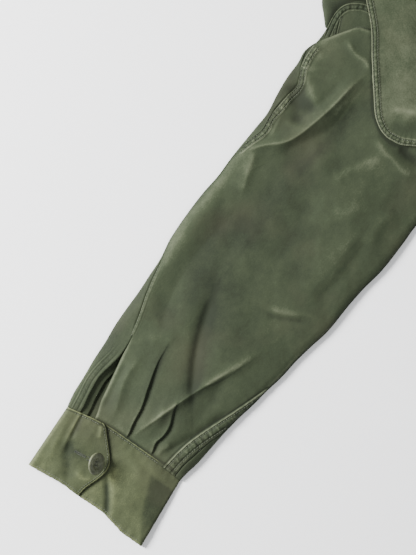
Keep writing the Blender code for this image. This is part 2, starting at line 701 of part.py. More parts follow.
def back_outline():
    """Closed outline of the back, the right half and its mirror."""
    seam = floor_armhole()[::-1]
    offsets = np.tile(np.array([0.5, 0.0]), (len(seam), 1))
    offsets[5:] = ((0.5, 0.5), (0.1, 0.6), (-0.1, 0.7), (-0.3, 0.8))
    half = np.vstack([
        [(0.0, HEM_Y), (-HALF_HEM, HEM_Y), (-281.0, -480.0)],
        seam + offsets,
        [(-317.0, -4.0), (-314.0, 8.5), NECK_POINT, (-60.0, 36.0), (-30.0, 30.0), (0.0, 28.5)],
    ])
    mirror = half[-2:0:-1] * np.array([-1.0, 1.0])
    return np.vstack([half, mirror])


def button_mesh():
    """A turned button with a wide rim, a sunk centre and four holes."""
    top = BUTTON_THICK
    profile = ((4.9, top - 1.3), (5.9, top - 0.5), (7.2, top), (10.4, top), (BUTTON_RADIUS, top - 0.9),
               (BUTTON_RADIUS, top - 2.0), (8.2, 0.0))
    mesh = bpy.data.meshes.new("button_profile")
    points = [(0.0, 0.0, (top - 1.3) * MM)]
    points += [(radius * MM, 0.0, height * MM) for radius, height in profile]
    points += [(0.0, 0.0, 0.0)]
    mesh.from_pydata(points, [(k, k + 1) for k in range(len(points) - 1)], [])
    turned = bpy.data.objects.new("button_turned", mesh)
    bpy.context.scene.collection.objects.link(turned)
    screw = turned.modifiers.new("turn", "SCREW")
    screw.steps = 20
    screw.render_steps = 20
    screw.use_merge_vertices = True
    screw.merge_threshold = 0.00001
    cutters = [button_cutter(turn) for turn in range(4)]
    for cutter in cutters:
        cut = turned.modifiers.new("thread_hole", "BOOLEAN")
        cut.object = cutter
        cut.operation = "DIFFERENCE"
    bpy.context.view_layer.update()
    evaluated = turned.evaluated_get(bpy.context.evaluated_depsgraph_get())
    result = bpy.data.meshes.new_from_object(evaluated)
    for helper in (turned, *cutters):
        bpy.data.objects.remove(helper)
    return result


def button_cutter(turn):
    """The cutter of one thread hole."""
    angle = math.radians(45.0 + 90.0 * turn)
    offset = 0.5 * BUTTON_HOLE_SPACE * math.sqrt(2.0) * MM
    place = (offset * math.cos(angle), offset * math.sin(angle), 0.5 * BUTTON_THICK * MM)
    bpy.ops.mesh.primitive_cylinder_add(vertices=8, radius=BUTTON_HOLE_RADIUS * MM,
                                        depth=3.0 * BUTTON_THICK * MM, location=place)
    cutter = bpy.context.object
    cutter.display_type = "WIRE"
    cutter.hide_render = True
    return cutter


def add_button(name, mesh, collection, place, tilt=0.0, turn=0.0):
    """A button at a place in millimetres, leaning by tilt towards the turn direction."""
    button = link_object(name, mesh.copy(), collection, BUTTON)
    button.location = to_metres(np.array(place))
    button.rotation_euler = (0.0, tilt, turn)
    return button


def add_buttons(collection):
    """The two cuff buttons and the row down the centre front."""
    mesh = button_mesh()
    x, y = to_garment(*CUFF_BUTTON_AT)
    lean = BUTTON_RADIUS * math.sin(CUFF_BUTTON_TILT)
    z = CUFF_TAB_TOP + LAY_GAP + lean
    add_button("right_cuff_button", mesh, collection, (x, y, z), CUFF_BUTTON_TILT, CUFF_BUTTON_TURN)
    add_button("left_cuff_button", mesh, collection, (-x, y, z), CUFF_BUTTON_TILT, math.pi - CUFF_BUTTON_TURN)
    for number, button_y in enumerate(FRONT_BUTTON_YS, start=1):
        top = float(highest_near(lambda bx, by: front_top(-np.abs(bx), by), 0.0, button_y, 9.0))
        add_button(f"front_button_{number}", mesh, collection, (0.0, button_y, top + LAP_LIFT + LAY_GAP))


def main():
    """Build the coat in a collection of its own."""
    for old in list(bpy.data.objects):
        bpy.data.objects.remove(old)
    coat = bpy.data.collections.new(COAT)
    bpy.context.scene.collection.children.link(coat)
    flat_panel("back", back_outline(), WALL, coat, CLOTH)
    cloth_panel("right_front", front_grid(0.0), WALL, coat, CLOTH)
    cloth_panel("left_front", front_grid(LAP_LIFT), WALL, coat, CLOTH, mirrored=True)
    cloth_panel("storm_flap", flap_grid(), WALL, coat, CLOTH)
    cloth_panel("collar", collar_grid(), COLLAR_WALL, coat, CLOTH)
    for side, mirrored in (("right", False), ("left", True)):
        cloth_panel(f"{side}_topsleeve", topsleeve_grid(), WALL, coat, CLOTH, mirrored)
        cloth_panel(f"{side}_undersleeve", undersleeve_grid(), WALL, coat, CLOTH, mirrored)
        cloth_panel(f"{side}_cuff", cuff_grid(), CUFF_WALL, coat, CUFF_CLOTH, mirrored)
    add_buttons(coat)


main()
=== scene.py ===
"""Looks of a military coat that lies flat on its back, front up.

Lengths here are millimetres until a mesh is made. The body is drawn about its centre line,
with y = 0 at the outer end of the shoulder, and a sleeve along its own axis: t runs from the
cuff's hem to the shoulder, and s runs across it, from the rear seam to the inseam.
"""
import logging
import math
from dataclasses import dataclass
from enum import Enum
from typing import Callable, NamedTuple, Sequence

import bpy
import numpy as np
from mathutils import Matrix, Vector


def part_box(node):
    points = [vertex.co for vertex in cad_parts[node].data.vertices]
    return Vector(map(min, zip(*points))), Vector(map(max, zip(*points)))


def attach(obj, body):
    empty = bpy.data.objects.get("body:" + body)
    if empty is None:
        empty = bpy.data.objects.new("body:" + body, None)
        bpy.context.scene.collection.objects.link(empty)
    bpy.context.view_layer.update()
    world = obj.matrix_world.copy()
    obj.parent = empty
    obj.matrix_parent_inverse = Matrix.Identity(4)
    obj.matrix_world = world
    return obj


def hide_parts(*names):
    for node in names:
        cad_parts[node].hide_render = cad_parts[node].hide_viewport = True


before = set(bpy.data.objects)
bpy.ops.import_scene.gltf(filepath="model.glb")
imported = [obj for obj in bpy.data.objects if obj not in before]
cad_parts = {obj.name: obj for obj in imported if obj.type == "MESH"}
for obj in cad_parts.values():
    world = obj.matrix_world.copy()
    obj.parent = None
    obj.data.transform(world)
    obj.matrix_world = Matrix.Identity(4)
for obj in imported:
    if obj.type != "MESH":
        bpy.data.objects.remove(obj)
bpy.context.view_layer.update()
LOG = logging.getLogger("military_coat")

Array = np.ndarray
MM = 0.001

# Where the body's y = 0 stands in the frame: the coat's outline is centred on the origin.
HEM_Y = -752.0
COLLAR_TOP_Y = 98.0
FRAME_SHIFT = -0.5 * (HEM_Y + COLLAR_TOP_Y)

# Cloth and lay of the layers
WALL = 1.1
CUFF_WALL = 1.7
COLLAR_WALL = 2.2
LAY_GAP = 0.6
SOLID_WALL = 1.4
SOLID_LAY_GAP = 0.5

# Body
HALF_HEM = 290.0
ARMPIT = (-272.0, -221.0)
ARMHOLE_TOP = (-255.0, -60.0)
ARMHOLE_BEND = (-255.0, -150.0)
NECK_POINT = (-85.0, 48.0)
SHOULDER_SLOPE = 0.173
FRONT_NECK_Y = -75.0
FRONT_LAP = 22.0
LAP_LIFT = 2.4
BODY_TOP = 6.0
BODY_EDGE_TOP = 2.0 * SOLID_WALL + SOLID_LAY_GAP
RIGHT_FRONT_SEED = 61

# Sleeve
ARM_ANGLE = math.radians(32.55)
CUFF_CENTRE = (-707.1, -386.0)
EDGE_HALF = 3.0
ROUND_WIDTH = 9.0
PLEAT_DROP = 1.3


class Side(Enum):
    """The wearer's side of a piece: pieces are drawn for the right and mirrored for the left."""

    RIGHT = "right"
    LEFT = "left"

    @property
    def mirrored(self) -> bool:
        """Whether x changes sign on this side."""
        return self is Side.LEFT


# ---------------------------------------------------------------- curves and fields


def smoothstep(value: Array) -> Array:
    """Rise from 0 to 1 as 3v^2 - 2v^3, with level ends.

    Args:
        value: Any array; it is clipped to 0..1.

    Returns:
        The eased values.
    """
    clipped = np.clip(value, 0.0, 1.0)
    return clipped * clipped * (3.0 - 2.0 * clipped)


def bell(value: Array, width: float, middle: float = 0.0) -> Array:
    """A bell curve of height 1: exp(-((value - middle) / width) ^ 2)."""
    return np.exp(-((value - middle) / width) ** 2)


def quarter_round(value: Array) -> Array:
    """A quarter circle from 0 to 1, upright at its start: sqrt(1 - (1 - v)^2), with v clipped to 0..1."""
    return np.sqrt(1.0 - (1.0 - np.clip(value, 0.0, 1.0)) ** 2)


def both_ends(share: Array, reach: float) -> Array:
    """1 along a path, easing down to nothing over the reach at both of its ends."""
    return smoothstep(share / reach) * smoothstep((1.0 - share) / reach)


def smooth_table(keys: Sequence[float], values: Sequence[float]) -> Callable[[Array], Array]:
    """A smooth function through a table: a cubic on each interval, with central slopes.

    Args:
        keys: Rising places.
        values: The value at each place.

    Returns:
        A function of an array of places, level outside the table.
    """
    x = np.array(keys, dtype=float)
    y = np.array(values, dtype=float)
    slope = np.gradient(y, x)

    def read(at: Array) -> Array:
        """The value at each place, from the cubic on its interval.

        Args:
            at: Any array of places.

        Returns:
            One value for each.
        """
        place = np.clip(at, x[0], x[-1])
        i = np.clip(np.searchsorted(x, place, side="right") - 1, 0, len(x) - 2)
        step = x[i + 1] - x[i]
        k = (place - x[i]) / step
        return ((2 * k ** 3 - 3 * k ** 2 + 1) * y[i] + (k ** 3 - 2 * k ** 2 + k) * step * slope[i]
                + (3 * k ** 2 - 2 * k ** 3) * y[i + 1] + (k ** 3 - k ** 2) * step * slope[i + 1])

    return read


def smooth_columns(rows: Sequence[tuple[float, ...]]) -> list[Callable[[Array], Array]]:
    """A smooth function of the first column for each of a table's other columns."""
    keys, *columns = zip(*rows)
    return [smooth_table(keys, column) for column in columns]


def path_lengths(path: Array) -> Array:
    """Length along a polyline at each of its points: the running sum of its steps."""
    return np.concatenate([[0.0], np.cumsum(np.linalg.norm(np.diff(path, axis=0), axis=1))])


def at_lengths(path: Array, along: Array, at: Array) -> Array:
    """Places on a polyline where the measure along its points reaches the given values."""
    return np.column_stack([np.interp(at, along, path[:, axis]) for axis in range(path.shape[1])])


def length_shares(path: Array) -> Array:
    """Share of a polyline's whole length at each of its points."""
    along = path_lengths(path)
    return along / along[-1]


def at_shares(path: Array, shares: Array) -> Array:
    """Places on a polyline at shares of its length."""
    return at_lengths(path, length_shares(path), shares)


def even_path(path: Array, count: int) -> Array:
    """Evenly spaced places along a polyline."""
    return at_shares(path, np.linspace(0.0, 1.0, count))


def smooth_curve(points: Sequence[Sequence[float]], count: int) -> Array:
    """Points evenly spaced along a Catmull-Rom curve through the given points.

    Args:
        points: The points that the curve passes.
        count: How many points to return.

    Returns:
        An array of count rows.
    """
    path = np.array(points, dtype=float)
    padded = np.vstack([2.0 * path[0] - path[1], path, 2.0 * path[-1] - path[-2]])
    k = np.linspace(0.0, 1.0, 16, endpoint=False)[:, None]
    parts = []
    for i in range(len(path) - 1):
        p0, p1, p2, p3 = padded[i:i + 4]
        parts.append(0.5 * (2 * p1 + (p2 - p0) * k + (2 * p0 - 5 * p1 + 4 * p2 - p3) * k ** 2
                            + (3 * p1 - p0 - 3 * p2 + p3) * k ** 3))
    return even_path(np.vstack([*parts, path[-1:]]), count)


def path_distance(path: Array, s: Array, t: Array) -> tuple[Array, Array, Array]:
    """Signed distance to a polyline, the nearest share along it, and the length along it.

    The sign is that of the cross product of the path's direction with the way to the point:
    more than nothing on the right of a path that runs up the sleeve.

    Args:
        path: The polyline's points, n by 2.
        s: First coordinate of the places.
        t: Second coordinate of the places.

    Returns:
        Signed distance, share from 0 to 1, and length in millimetres.
    """
    points = np.asarray(path, dtype=float)
    lengths = np.linalg.norm(np.diff(points, axis=0), axis=1)
    starts = np.concatenate([[0.0], np.cumsum(lengths)])
    best = np.full(np.shape(s), 1.0e9)
    signed = np.zeros(np.shape(s))
    travelled = np.zeros(np.shape(s))
    for start, end, length, offset in zip(points[:-1], points[1:], lengths, starts):
        direction = (end - start) / max(length, 1e-9)
        along = np.clip((s - start[0]) * direction[0] + (t - start[1]) * direction[1], 0.0, length)
        ds = s - (start[0] + along * direction[0])
        dt = t - (start[1] + along * direction[1])
        distance = np.hypot(ds, dt)
        side = np.where(ds * direction[1] - dt * direction[0] >= 0.0, 1.0, -1.0)
        nearer = distance < best
        best = np.where(nearer, distance, best)
        signed = np.where(nearer, side * distance, signed)
        travelled = np.where(nearer, offset + along, travelled)
    return signed, travelled / starts[-1], travelled


def stroke_distance(path: Sequence[Sequence[float]], s: Array, t: Array, detail: int = 5) -> tuple:
    """Distance, share and length to the smooth curve through a few points.

    Args:
        path: The points.
        s: First coordinate of the places.
        t: Second coordinate of the places.
        detail: How many points the curve has for each given one.

    Returns:
        What path_distance gives for the curve.
    """
    return path_distance(smooth_curve(path, detail * len(path)), s, t)


def ruled(first: Array, last: Array, shares: Array) -> Array:
    """The straight blend between two edges with as many points: one column for each share."""
    across = shares[None, :, None]
    return first[:, None, :] * (1.0 - across) + last[:, None, :] * across


def value_noise(x: Array, y: Array, scale_x: float, scale_y: float, seed: int) -> Array:
    """Smooth noise between -1 and 1: lattice values from a sine hash, eased between.

    Args:
        x: First coordinate.
        y: Second coordinate.
        scale_x: Size of a lattice cell along x.
        scale_y: Size of a lattice cell along y.
        seed: Which lattice.

    Returns:
        The noise at each place.
    """
    gx, gy = x / scale_x + 19.7 * seed, y / scale_y - 7.3 * seed
    ix, iy = np.floor(gx), np.floor(gy)
    fx, fy = smoothstep(gx - ix), smoothstep(gy - iy)

    def corner(cx: Array, cy: Array) -> Array:
        """A lattice point's value between -1 and 1."""
        raw = np.sin(cx * 127.1 + cy * 311.7 + seed * 74.7) * 43758.5453
        return 2.0 * (raw - np.floor(raw)) - 1.0

    low = corner(ix, iy) * (1 - fx) + corner(ix + 1, iy) * fx
    high = corner(ix, iy + 1) * (1 - fx) + corner(ix + 1, iy + 1) * fx
    return low * (1 - fy) + high * fy


def blurred(field: Array, passes: int) -> Array:
    """A grid averaged with its neighbours, pass by pass.

    Args:
        field: A two-dimensional grid.
        passes: How often each value takes a quarter of each neighbour along both axes.

    Returns:
        The smoothed grid.
    """
    result = field
    for _ in range(passes):
        padded = np.pad(result, 1, mode="edge")
        result = (0.5 * result + 0.125 * (padded[:-2, 1:-1] + padded[2:, 1:-1]
                                          + padded[1:-1, :-2] + padded[1:-1, 2:]))
    return result


# ---------------------------------------------------------------- relief


class Fold(NamedTuple):
    """A soft fold: its path, its half width before and after the path, and its height."""

    path: tuple
    before: float
    after: float
    height: float
    power: float = 1.8


class Pleat(NamedTuple):
    """A pleat: the path of its folded edge, its height, its slope and where it starts to fade."""

    path: tuple
    height: float
    slope: float
    fade_from: float


class PaintedShading(NamedTuple):
    """A painted streak, of shade where its tone is below zero and of light where it is above: its path, how
    far it reaches to each side, and its tone.
    """

    path: tuple
    reach: float
    tone: float


class SeamBand(NamedTuple):
    """A felled seam: the path of its edge, its width, its height and how much it puckers."""

    path: tuple
    width: float
    height: float
    pucker: float


def fold_relief(folds: Sequence[Fold], s: Array, t: Array) -> Array:
    """Sum of the folds: height times exp(-|d / width| ^ power), faded at each path's ends.

    Args:
        folds: The folds.
        s: First coordinate.
        t: Second coordinate.

    Returns:
        The height in millimetres.
    """
    total = np.zeros(np.shape(s))
    for fold in folds:
        distance, share, _ = stroke_distance(fold.path, s, t)
        width = np.where(distance < 0.0, fold.before, fold.after)
        section = np.exp(-np.abs(distance / width) ** fold.power)
        total += fold.height * (0.15 + 0.85 * both_ends(share, 0.22)) * section
    return total


def painted_shading_tone(painted_streaks: Sequence[PaintedShading], s: Array, t: Array) -> Array:
    """Sum of the painted streaks of shade and light: each a bell across its path, faded at the path's ends.

    Args:
        painted_streaks: The painted streaks.
        s: First coordinate.
        t: Second coordinate.

    Returns:
        What they add to the tone.
    """
    total = np.zeros(np.shape(s))
    for fade in painted_streaks:
        distance, share, _ = stroke_distance(fade.path, s, t)
        total += fade.tone * (0.3 + 0.7 * both_ends(share, 0.2)) * bell(distance, fade.reach)
    return total


def painted_pleat_shading(pleats: Sequence[Pleat], s: Array, t: Array) -> Array:
    """Painted shadow in the crease behind each pleat's folded edge, and a painted highlight on the edge.

    Args:
        pleats: The pleats.
        s: First coordinate.
        t: Second coordinate.

    Returns:
        What they add to the tone.
    """
    total = np.zeros(np.shape(s))
    for pleat in pleats:
        distance, share, _ = stroke_distance(pleat.path, s, t)
        edge, crease = 0.06 * bell(distance, 1.1, -1.4), 0.60 * bell(distance, 0.9, 1.0)
        total += smoothstep((1.0 - share) / 0.35) * (edge - crease)
    return total


def pleat_relief(pleats: Sequence[Pleat], s: Array, t: Array) -> Array:
    """Sum of the pleats: cloth slopes up to each folded edge and drops steeply behind it.

    Args:
        pleats: The pleats.
        s: First coordinate.
        t: Second coordinate.

    Returns:
        The height in millimetres.
    """
    total = np.zeros(np.shape(s))
    for pleat in pleats:
        distance, _, _ = stroke_distance(pleat.path, s, t)
        top = pleat.path[-1][1]
        fade = 1.0 - smoothstep((t - pleat.fade_from) / (top - pleat.fade_from))
        rise = np.exp(-np.abs(np.minimum(distance, 0.0) / pleat.slope) ** 1.3)
        drop = 1.0 - smoothstep(distance / PLEAT_DROP)
        behind = 0.35 * bell(distance, 3.2, 2.6) * (distance > 0.0)
        total += pleat.height * fade * (rise * drop - behind)
    return total


def band_relief(bands: Sequence[SeamBand], s: Array, t: Array) -> Array:
    """Sum of the felled seams: a raised band between two sewn grooves, gathered into puckers.

    The band lies on the right of its path. Its height is level between the two rows of
    stitches, which sink half a millimetre, and a sine with an uneven phase puckers it.

    Args:
        bands: The seams.
        s: First coordinate.
        t: Second coordinate.

    Returns:
        The height in millimetres.
    """
    total = np.zeros(np.shape(s))
    for band in bands:
        distance, share, along = stroke_distance(band.path, s, t, 6)
        inside = smoothstep((distance + 0.8) / 1.0) * smoothstep((band.width + 1.2 - distance) / 1.6)
        rows = bell(distance, 0.7, 1.4) + bell(distance, 0.7, band.width - 0.6)
        phase = along / 8.2 + 0.7 * np.sin(along / 23.0) + 0.5 * np.sin(along / 9.1)
        narrow = np.exp(-((distance - 0.5 * band.width) / (0.45 * band.width)) ** 4)
        wide = bell(distance, 1.1 * band.width, 0.5 * band.width)
        gathers = narrow * np.sin(2.0 * math.pi * phase) + 0.4 * wide * np.sin(math.pi * phase)
        total += both_ends(share, 0.04) * (band.height * inside - 0.42 * rows + band.pucker * gathers)
    return total


# ---------------------------------------------------------------- finishes


class NodeMaker:
    """Short calls for building one material's nodes."""

    def __init__(self, name: str) -> None:
        """Start a material with a Principled shader.

        Args:
            name: The material's name.
        """
        self.material = bpy.data.materials.new(name)
        self.material.use_nodes = True
        self.nodes = self.material.node_tree.nodes
        self.links = self.material.node_tree.links
        self.shader = self.nodes["Principled BSDF"]

    def add(self, kind: str, **values: object) -> bpy.types.Node:
        """A new node, with its inputs set or linked by name and its properties by lower-case name.

        Args:
            kind: The node's type.
            **values: An input's name with spaces as underscores, or a property.

        Returns:
            The node.
        """
        node = self.nodes.new(kind)
        for key, value in values.items():
            label = key.replace("_", " ")
            if label in node.inputs:
                self.feed(node.inputs[label], value)
            else:
                setattr(node, key, value)
        return node

    def feed(self, socket: bpy.types.NodeSocket, value: object) -> None:
        """Link an output to a socket, or set the socket's own value.

        Args:
            socket: The input.
            value: What it takes.
        """
        if isinstance(value, bpy.types.NodeSocket):
            self.links.new(value, socket)
        else:
            socket.default_value = value

    def maths(self, operation: str, first: object, second: object) -> bpy.types.NodeSocket:
        """The result of one Math node.

        Args:
            operation: The operation's name.
            first: Its first input.
            second: Its second input.

        Returns:
            The value output.
        """
        node = self.nodes.new("ShaderNodeMath")
        node.operation = operation
        self.feed(node.inputs[0], first)
        self.feed(node.inputs[1], second)
        return node.outputs[0]

    def plus(self, base: object, field: object, share: float) -> bpy.types.NodeSocket:
        """A value with a share of another added to it."""
        return self.maths("ADD", base, self.maths("MULTIPLY", field, share))

    def shade(self, **values: object) -> None:
        """Set or link the shader's inputs, by their names with underscores for spaces."""
        for key, value in values.items():
            self.feed(self.shader.inputs[key.replace("_", " ")], value)

    def bump(self, height: object, strength: float, distance: float, **under: object) -> bpy.types.NodeSocket:
        """Raise the surface by a height.

        Args:
            height: What raises it.
            strength: How much of it counts.
            distance: What a height of 1 measures, in metres.
            **under: The bump under this one, as Normal.

        Returns:
            The bumped normal, which the shader takes.
        """
        node = self.add("ShaderNodeBump", Height=height, Strength=strength, Distance=distance, **under)
        self.shade(Normal=node.outputs[0])
        return node.outputs[0]

    def noise(self, vector: object, scale: float, detail: float) -> bpy.types.NodeSocket:
        """The value of a noise texture."""
        return self.add("ShaderNodeTexNoise", Vector=vector, Scale=scale, Detail=detail).outputs[0]

    def ramp(self, factor: object, stops: Sequence[tuple[float, tuple]]) -> bpy.types.NodeSocket:
        """A colour ramp through the given stops.

        Args:
            factor: What the ramp reads.
            stops: Place and colour of each stop.

        Returns:
            The colour output.
        """
        node = self.nodes.new("ShaderNodeValToRGB")
        self.feed(node.inputs[0], factor)
        elements = node.color_ramp.elements
        for index, (place, colour) in enumerate(stops):
            element = elements[index] if index < len(elements) else elements.new(place)
            element.position = place
            element.color = (*colour, 1.0)
        return node.outputs[0]

    def blend(self, factor: object, first: object, second: object) -> bpy.types.NodeSocket:
        """Two colours mixed by a factor.

        Args:
            factor: Share of the second colour.
            first: The first colour.
            second: The second colour.

        Returns:
            The colour output.
        """
        node = self.nodes.new("ShaderNodeMix")
        node.data_type = "RGBA"
        self.feed(node.inputs[0], factor)
        self.feed(node.inputs[6], first)
        self.feed(node.inputs[7], second)
        return node.outputs[2]


@dataclass(frozen=True)
class ClothFinish:
    """Washed cotton sateen: three greens along the tone, which holds fading and painted shade and light, a
    brown cast, a fine twill and a soft nap.
    """

    name: str
    deep: tuple[float, float, float]
    middle: tuple[float, float, float]
    lightened: tuple[float, float, float]
    brown: tuple[float, float, float] = (0.066, 0.062, 0.036)
    brown_share: float = 0.26
    twill_pitch: float = 0.0009
    gather_pitch: float = 0.0052
    bump: float = 0.35

    def material(self) -> bpy.types.Material:
        """The cloth's material, from its tone attribute, its own UV map and Object coordinates.

        Returns:
            The material.
        """
        made = NodeMaker(self.name)
        place = made.add("ShaderNodeTexCoord").outputs["Object"]
        weave = made.add("ShaderNodeUVMap", uv_map="cloth_uv").outputs["UV"]
        slubs = made.add("ShaderNodeMapping", Vector=weave, Scale=(900.0, 90.0, 1.0)).outputs[0]
        factor = made.add("ShaderNodeAttribute", attribute_name="tone").outputs["Fac"]
        for vector, scale, detail, share in ((place, 9.0, 3.0, 0.32), (place, 60.0, 4.0, 0.24),
                                             (place, 170.0, 3.0, 0.19), (slubs, 1.0, 2.0, 0.13),
                                             (place, 900.0, 2.0, 0.34)):
            field = made.maths("SUBTRACT", made.noise(vector, scale, detail), 0.5)
            factor = made.plus(factor, field, share)
        seam_shading, seam_height = self.seam(made)
        factor = made.maths("ADD", factor, seam_shading)
        green = made.ramp(factor, ((0.08, self.deep), (0.5, self.middle), (0.95, self.lightened)))
        stain = made.ramp(made.noise(place, 11.0, 3.0), ((0.50, (0, 0, 0)), (0.70, (1, 1, 1))))
        tint = made.maths("MULTIPLY", stain, self.brown_share)
        made.shade(Base_Color=made.blend(tint, green, (*self.brown, 1.0)), Roughness=0.78,
                   Specular_IOR_Level=0.18, Sheen_Weight=0.05, Sheen_Roughness=0.4,
                   Sheen_Tint=(0.78, 0.86, 0.62, 1.0))
        turned = made.add("ShaderNodeMapping", Vector=weave, Rotation=(0.0, 0.0, math.radians(63.0)))
        twill = made.add("ShaderNodeTexWave", Vector=turned.outputs[0], Scale=0.314 / self.twill_pitch,
                         Distortion=1.5, Detail=1.0, Detail_Scale=2.0)
        nap = made.maths("MULTIPLY", twill.outputs["Fac"], 0.5)
        for vector, scale, detail, share in ((weave, 1400.0, 2.0, 0.7), (place, 240.0, 3.0, 1.2),
                                             (place, 90.0, 2.0, 2.2)):
            nap = made.plus(nap, made.noise(vector, scale, detail), share)
        made.bump(seam_height, 0.9, 0.0014, Normal=made.bump(nap, self.bump, 0.0004))
        return made.material

    def seam(self, made: NodeMaker) -> tuple[bpy.types.NodeSocket, bpy.types.NodeSocket]:
        """Painted shade and highlight, and height, of felled seams, read from how far across and along a seam
        a place is.

        Args:
            made: The material that the nodes go to.

        Returns:
            What the seam adds to the tone, and its height.
        """
        across, along, weight = (made.add("ShaderNodeAttribute", attribute_name=name).outputs["Fac"]
                                 for name in ("seam_across", "seam_along", "seam_weight"))
        share = made.maths("ADD", made.maths("MULTIPLY", across, 0.5), 0.25)
        profile = made.ramp(share, [(0.25 + 0.5 * row.across, (row.tone, row.height, row.gather))
                                    for row in SEAM_PROFILE])
        tone, height, gather = made.add("ShaderNodeSeparateColor", Color=profile).outputs
        place = made.add("ShaderNodeTexCoord").outputs["Object"]
        uneven = made.maths("MULTIPLY", made.noise(place, 110.0, 3.0), 16.0)
        turns = made.plus(uneven, along, 2.0 * math.pi / self.gather_pitch)
        wave = made.maths("MULTIPLY", made.maths("SINE", turns, 0.0), gather)
        tone = made.plus(made.maths("MULTIPLY", made.maths("SUBTRACT", tone, 0.5), 0.66), wave, 0.11)
        height = made.plus(made.maths("SUBTRACT", height, 0.5), wave, 0.13)
        return made.maths("MULTIPLY", tone, weight), made.maths("MULTIPLY", height, weight)


class SeamRow(NamedTuple):
    """A felled seam's tone, height and gathers at one share of its width; the tone is painted shade in the
    grooves and painted highlight on the rims.
    """

    across: float
    tone: float
    height: float
    gather: float


# Across a felled seam the tone paints shade in its two sewn grooves and highlights on its folded rims.
SEAM_PROFILE = (
    SeamRow(-0.45, 0.50, 0.50, 0.0),
    SeamRow(-0.22, 0.36, 0.46, 0.1),
    SeamRow(-0.10, 0.05, 0.25, 0.0),
    SeamRow(0.00, 0.92, 0.80, 0.1),
    SeamRow(0.09, 0.84, 0.86, 0.3),
    SeamRow(0.17, 0.18, 0.42, 0.4),
    SeamRow(0.28, 0.14, 0.40, 0.5),
    SeamRow(0.40, 0.38, 0.76, 0.9),
    SeamRow(0.55, 0.38, 0.80, 1.0),
    SeamRow(0.66, 0.36, 0.76, 0.9),
    SeamRow(0.74, 0.14, 0.40, 0.5),
    SeamRow(0.84, 0.16, 0.36, 0.4),
    SeamRow(0.93, 0.92, 0.72, 0.3),
    SeamRow(1.02, 0.86, 0.66, 0.2),
    SeamRow(1.12, 0.50, 0.56, 0.1),
    SeamRow(1.35, 0.50, 0.50, 0.0),
)


@dataclass(frozen=True)
class ThreadFinish:
    """Spun sewing thread: one colour with twisted plies."""

    name: str
    colour: tuple[float, float, float]

    def material(self) -> bpy.types.Material:
        """The thread's material, with its plies as a fine bump.

        Returns:
            The material.
        """
        made = NodeMaker(self.name)
        place = made.add("ShaderNodeTexCoord").outputs["Object"]
        plies = made.noise(place, 2500.0, 2.0)
        dark = tuple(0.6 * channel for channel in self.colour)
        twist = made.ramp(plies, ((0.3, dark), (0.6, self.colour)))
        made.shade(Base_Color=twist, Roughness=0.7, Sheen_Weight=0.2)
        made.bump(plies, 0.4, 0.0002)
        return made.material


@dataclass(frozen=True)
class ButtonFinish:
    """Moulded plastic, satin, with a faint clouding and fine scratches."""

    name: str
    colour: tuple[float, float, float]
    pale: tuple[float, float, float]

    def material(self) -> bpy.types.Material:
        """The button's material in Object coordinates.

        Returns:
            The material.
        """
        made = NodeMaker(self.name)
        place = made.add("ShaderNodeTexCoord").outputs["Object"]
        clouds = made.noise(place, 180.0, 3.0)
        scratch = made.noise(place, 1600.0, 4.0)
        made.shade(Base_Color=made.ramp(clouds, ((0.35, self.colour), (0.7, self.pale))),
                   Specular_IOR_Level=0.3, Roughness=made.plus(0.34, scratch, 0.22))
        made.bump(scratch, 0.12, 0.0002)
        return made.material


SATEEN = ClothFinish("olive_sateen", (0.012, 0.016, 0.008), (0.029, 0.038, 0.019), (0.094, 0.106, 0.064))
CUFF_SATEEN = ClothFinish("olive_sateen_faded", (0.016, 0.021, 0.010), (0.050, 0.060, 0.028),
                          (0.142, 0.158, 0.072))
SEAM_THREAD = ThreadFinish("olive_thread", (0.068, 0.080, 0.046))
HOLE_THREAD = ThreadFinish("dark_thread", (0.012, 0.015, 0.009))
OLIVE_PLASTIC = ButtonFinish("olive_button", (0.055, 0.061, 0.034), (0.100, 0.110, 0.062))


@dataclass(frozen=True)
class Finishes:
    """The materials that the coat's pieces share."""

    cloth: bpy.types.Material
    cuff_cloth: bpy.types.Material
    thread: bpy.types.Material
    hole_thread: bpy.types.Material
    plastic: bpy.types.Material


# ---------------------------------------------------------------- meshes


def to_frame(points: Array, mirrored: bool = False) -> Array:
    """Millimetres about the shoulder level to metres in the frame.

    Args:
        points: Places, three coordinates in the last axis.
        mirrored: Whether x changes sign.

    Returns:
        The places in metres.
    """
    placed = np.array(points, dtype=float)
    placed[..., 1] += FRAME_SHIFT
    if mirrored:
        placed[..., 0] *= -1.0
    return placed * MM


def mesh_from_arrays(name: str, points: Array, faces: Array) -> bpy.types.Mesh:
    """A smooth mesh of equal-sided faces.

    Args:
        name: The mesh's name.
        points: n by 3 places in metres.
        faces: m by k indices of points.

    Returns:
        The mesh.
    """
    mesh = bpy.data.meshes.new(name)
    mesh.vertices.add(len(points))
    mesh.vertices.foreach_set("co", np.ascontiguousarray(points, dtype=np.float32).ravel())
    sides = faces.shape[1]
    mesh.loops.add(faces.size)
    mesh.loops.foreach_set("vertex_index", np.ascontiguousarray(faces, dtype=np.int32).ravel())
    mesh.polygons.add(len(faces))
    mesh.polygons.foreach_set("loop_start", np.arange(0, faces.size, sides, dtype=np.int32))
    mesh.polygons.foreach_set("loop_total", np.full(len(faces), sides, dtype=np.int32))
    mesh.update(calc_edges=True)
    mesh.validate()
    mesh.shade_smooth()
    return mesh


def new_object(name: str, data: bpy.types.ID) -> bpy.types.Object:
    """An object in the scene's own collection.

    Args:
        name: The object's name.
        data: Its mesh, light or camera.

    Returns:
        The object.
    """
    made = bpy.data.objects.new(name, data)
    bpy.context.scene.collection.objects.link(made)
    return made


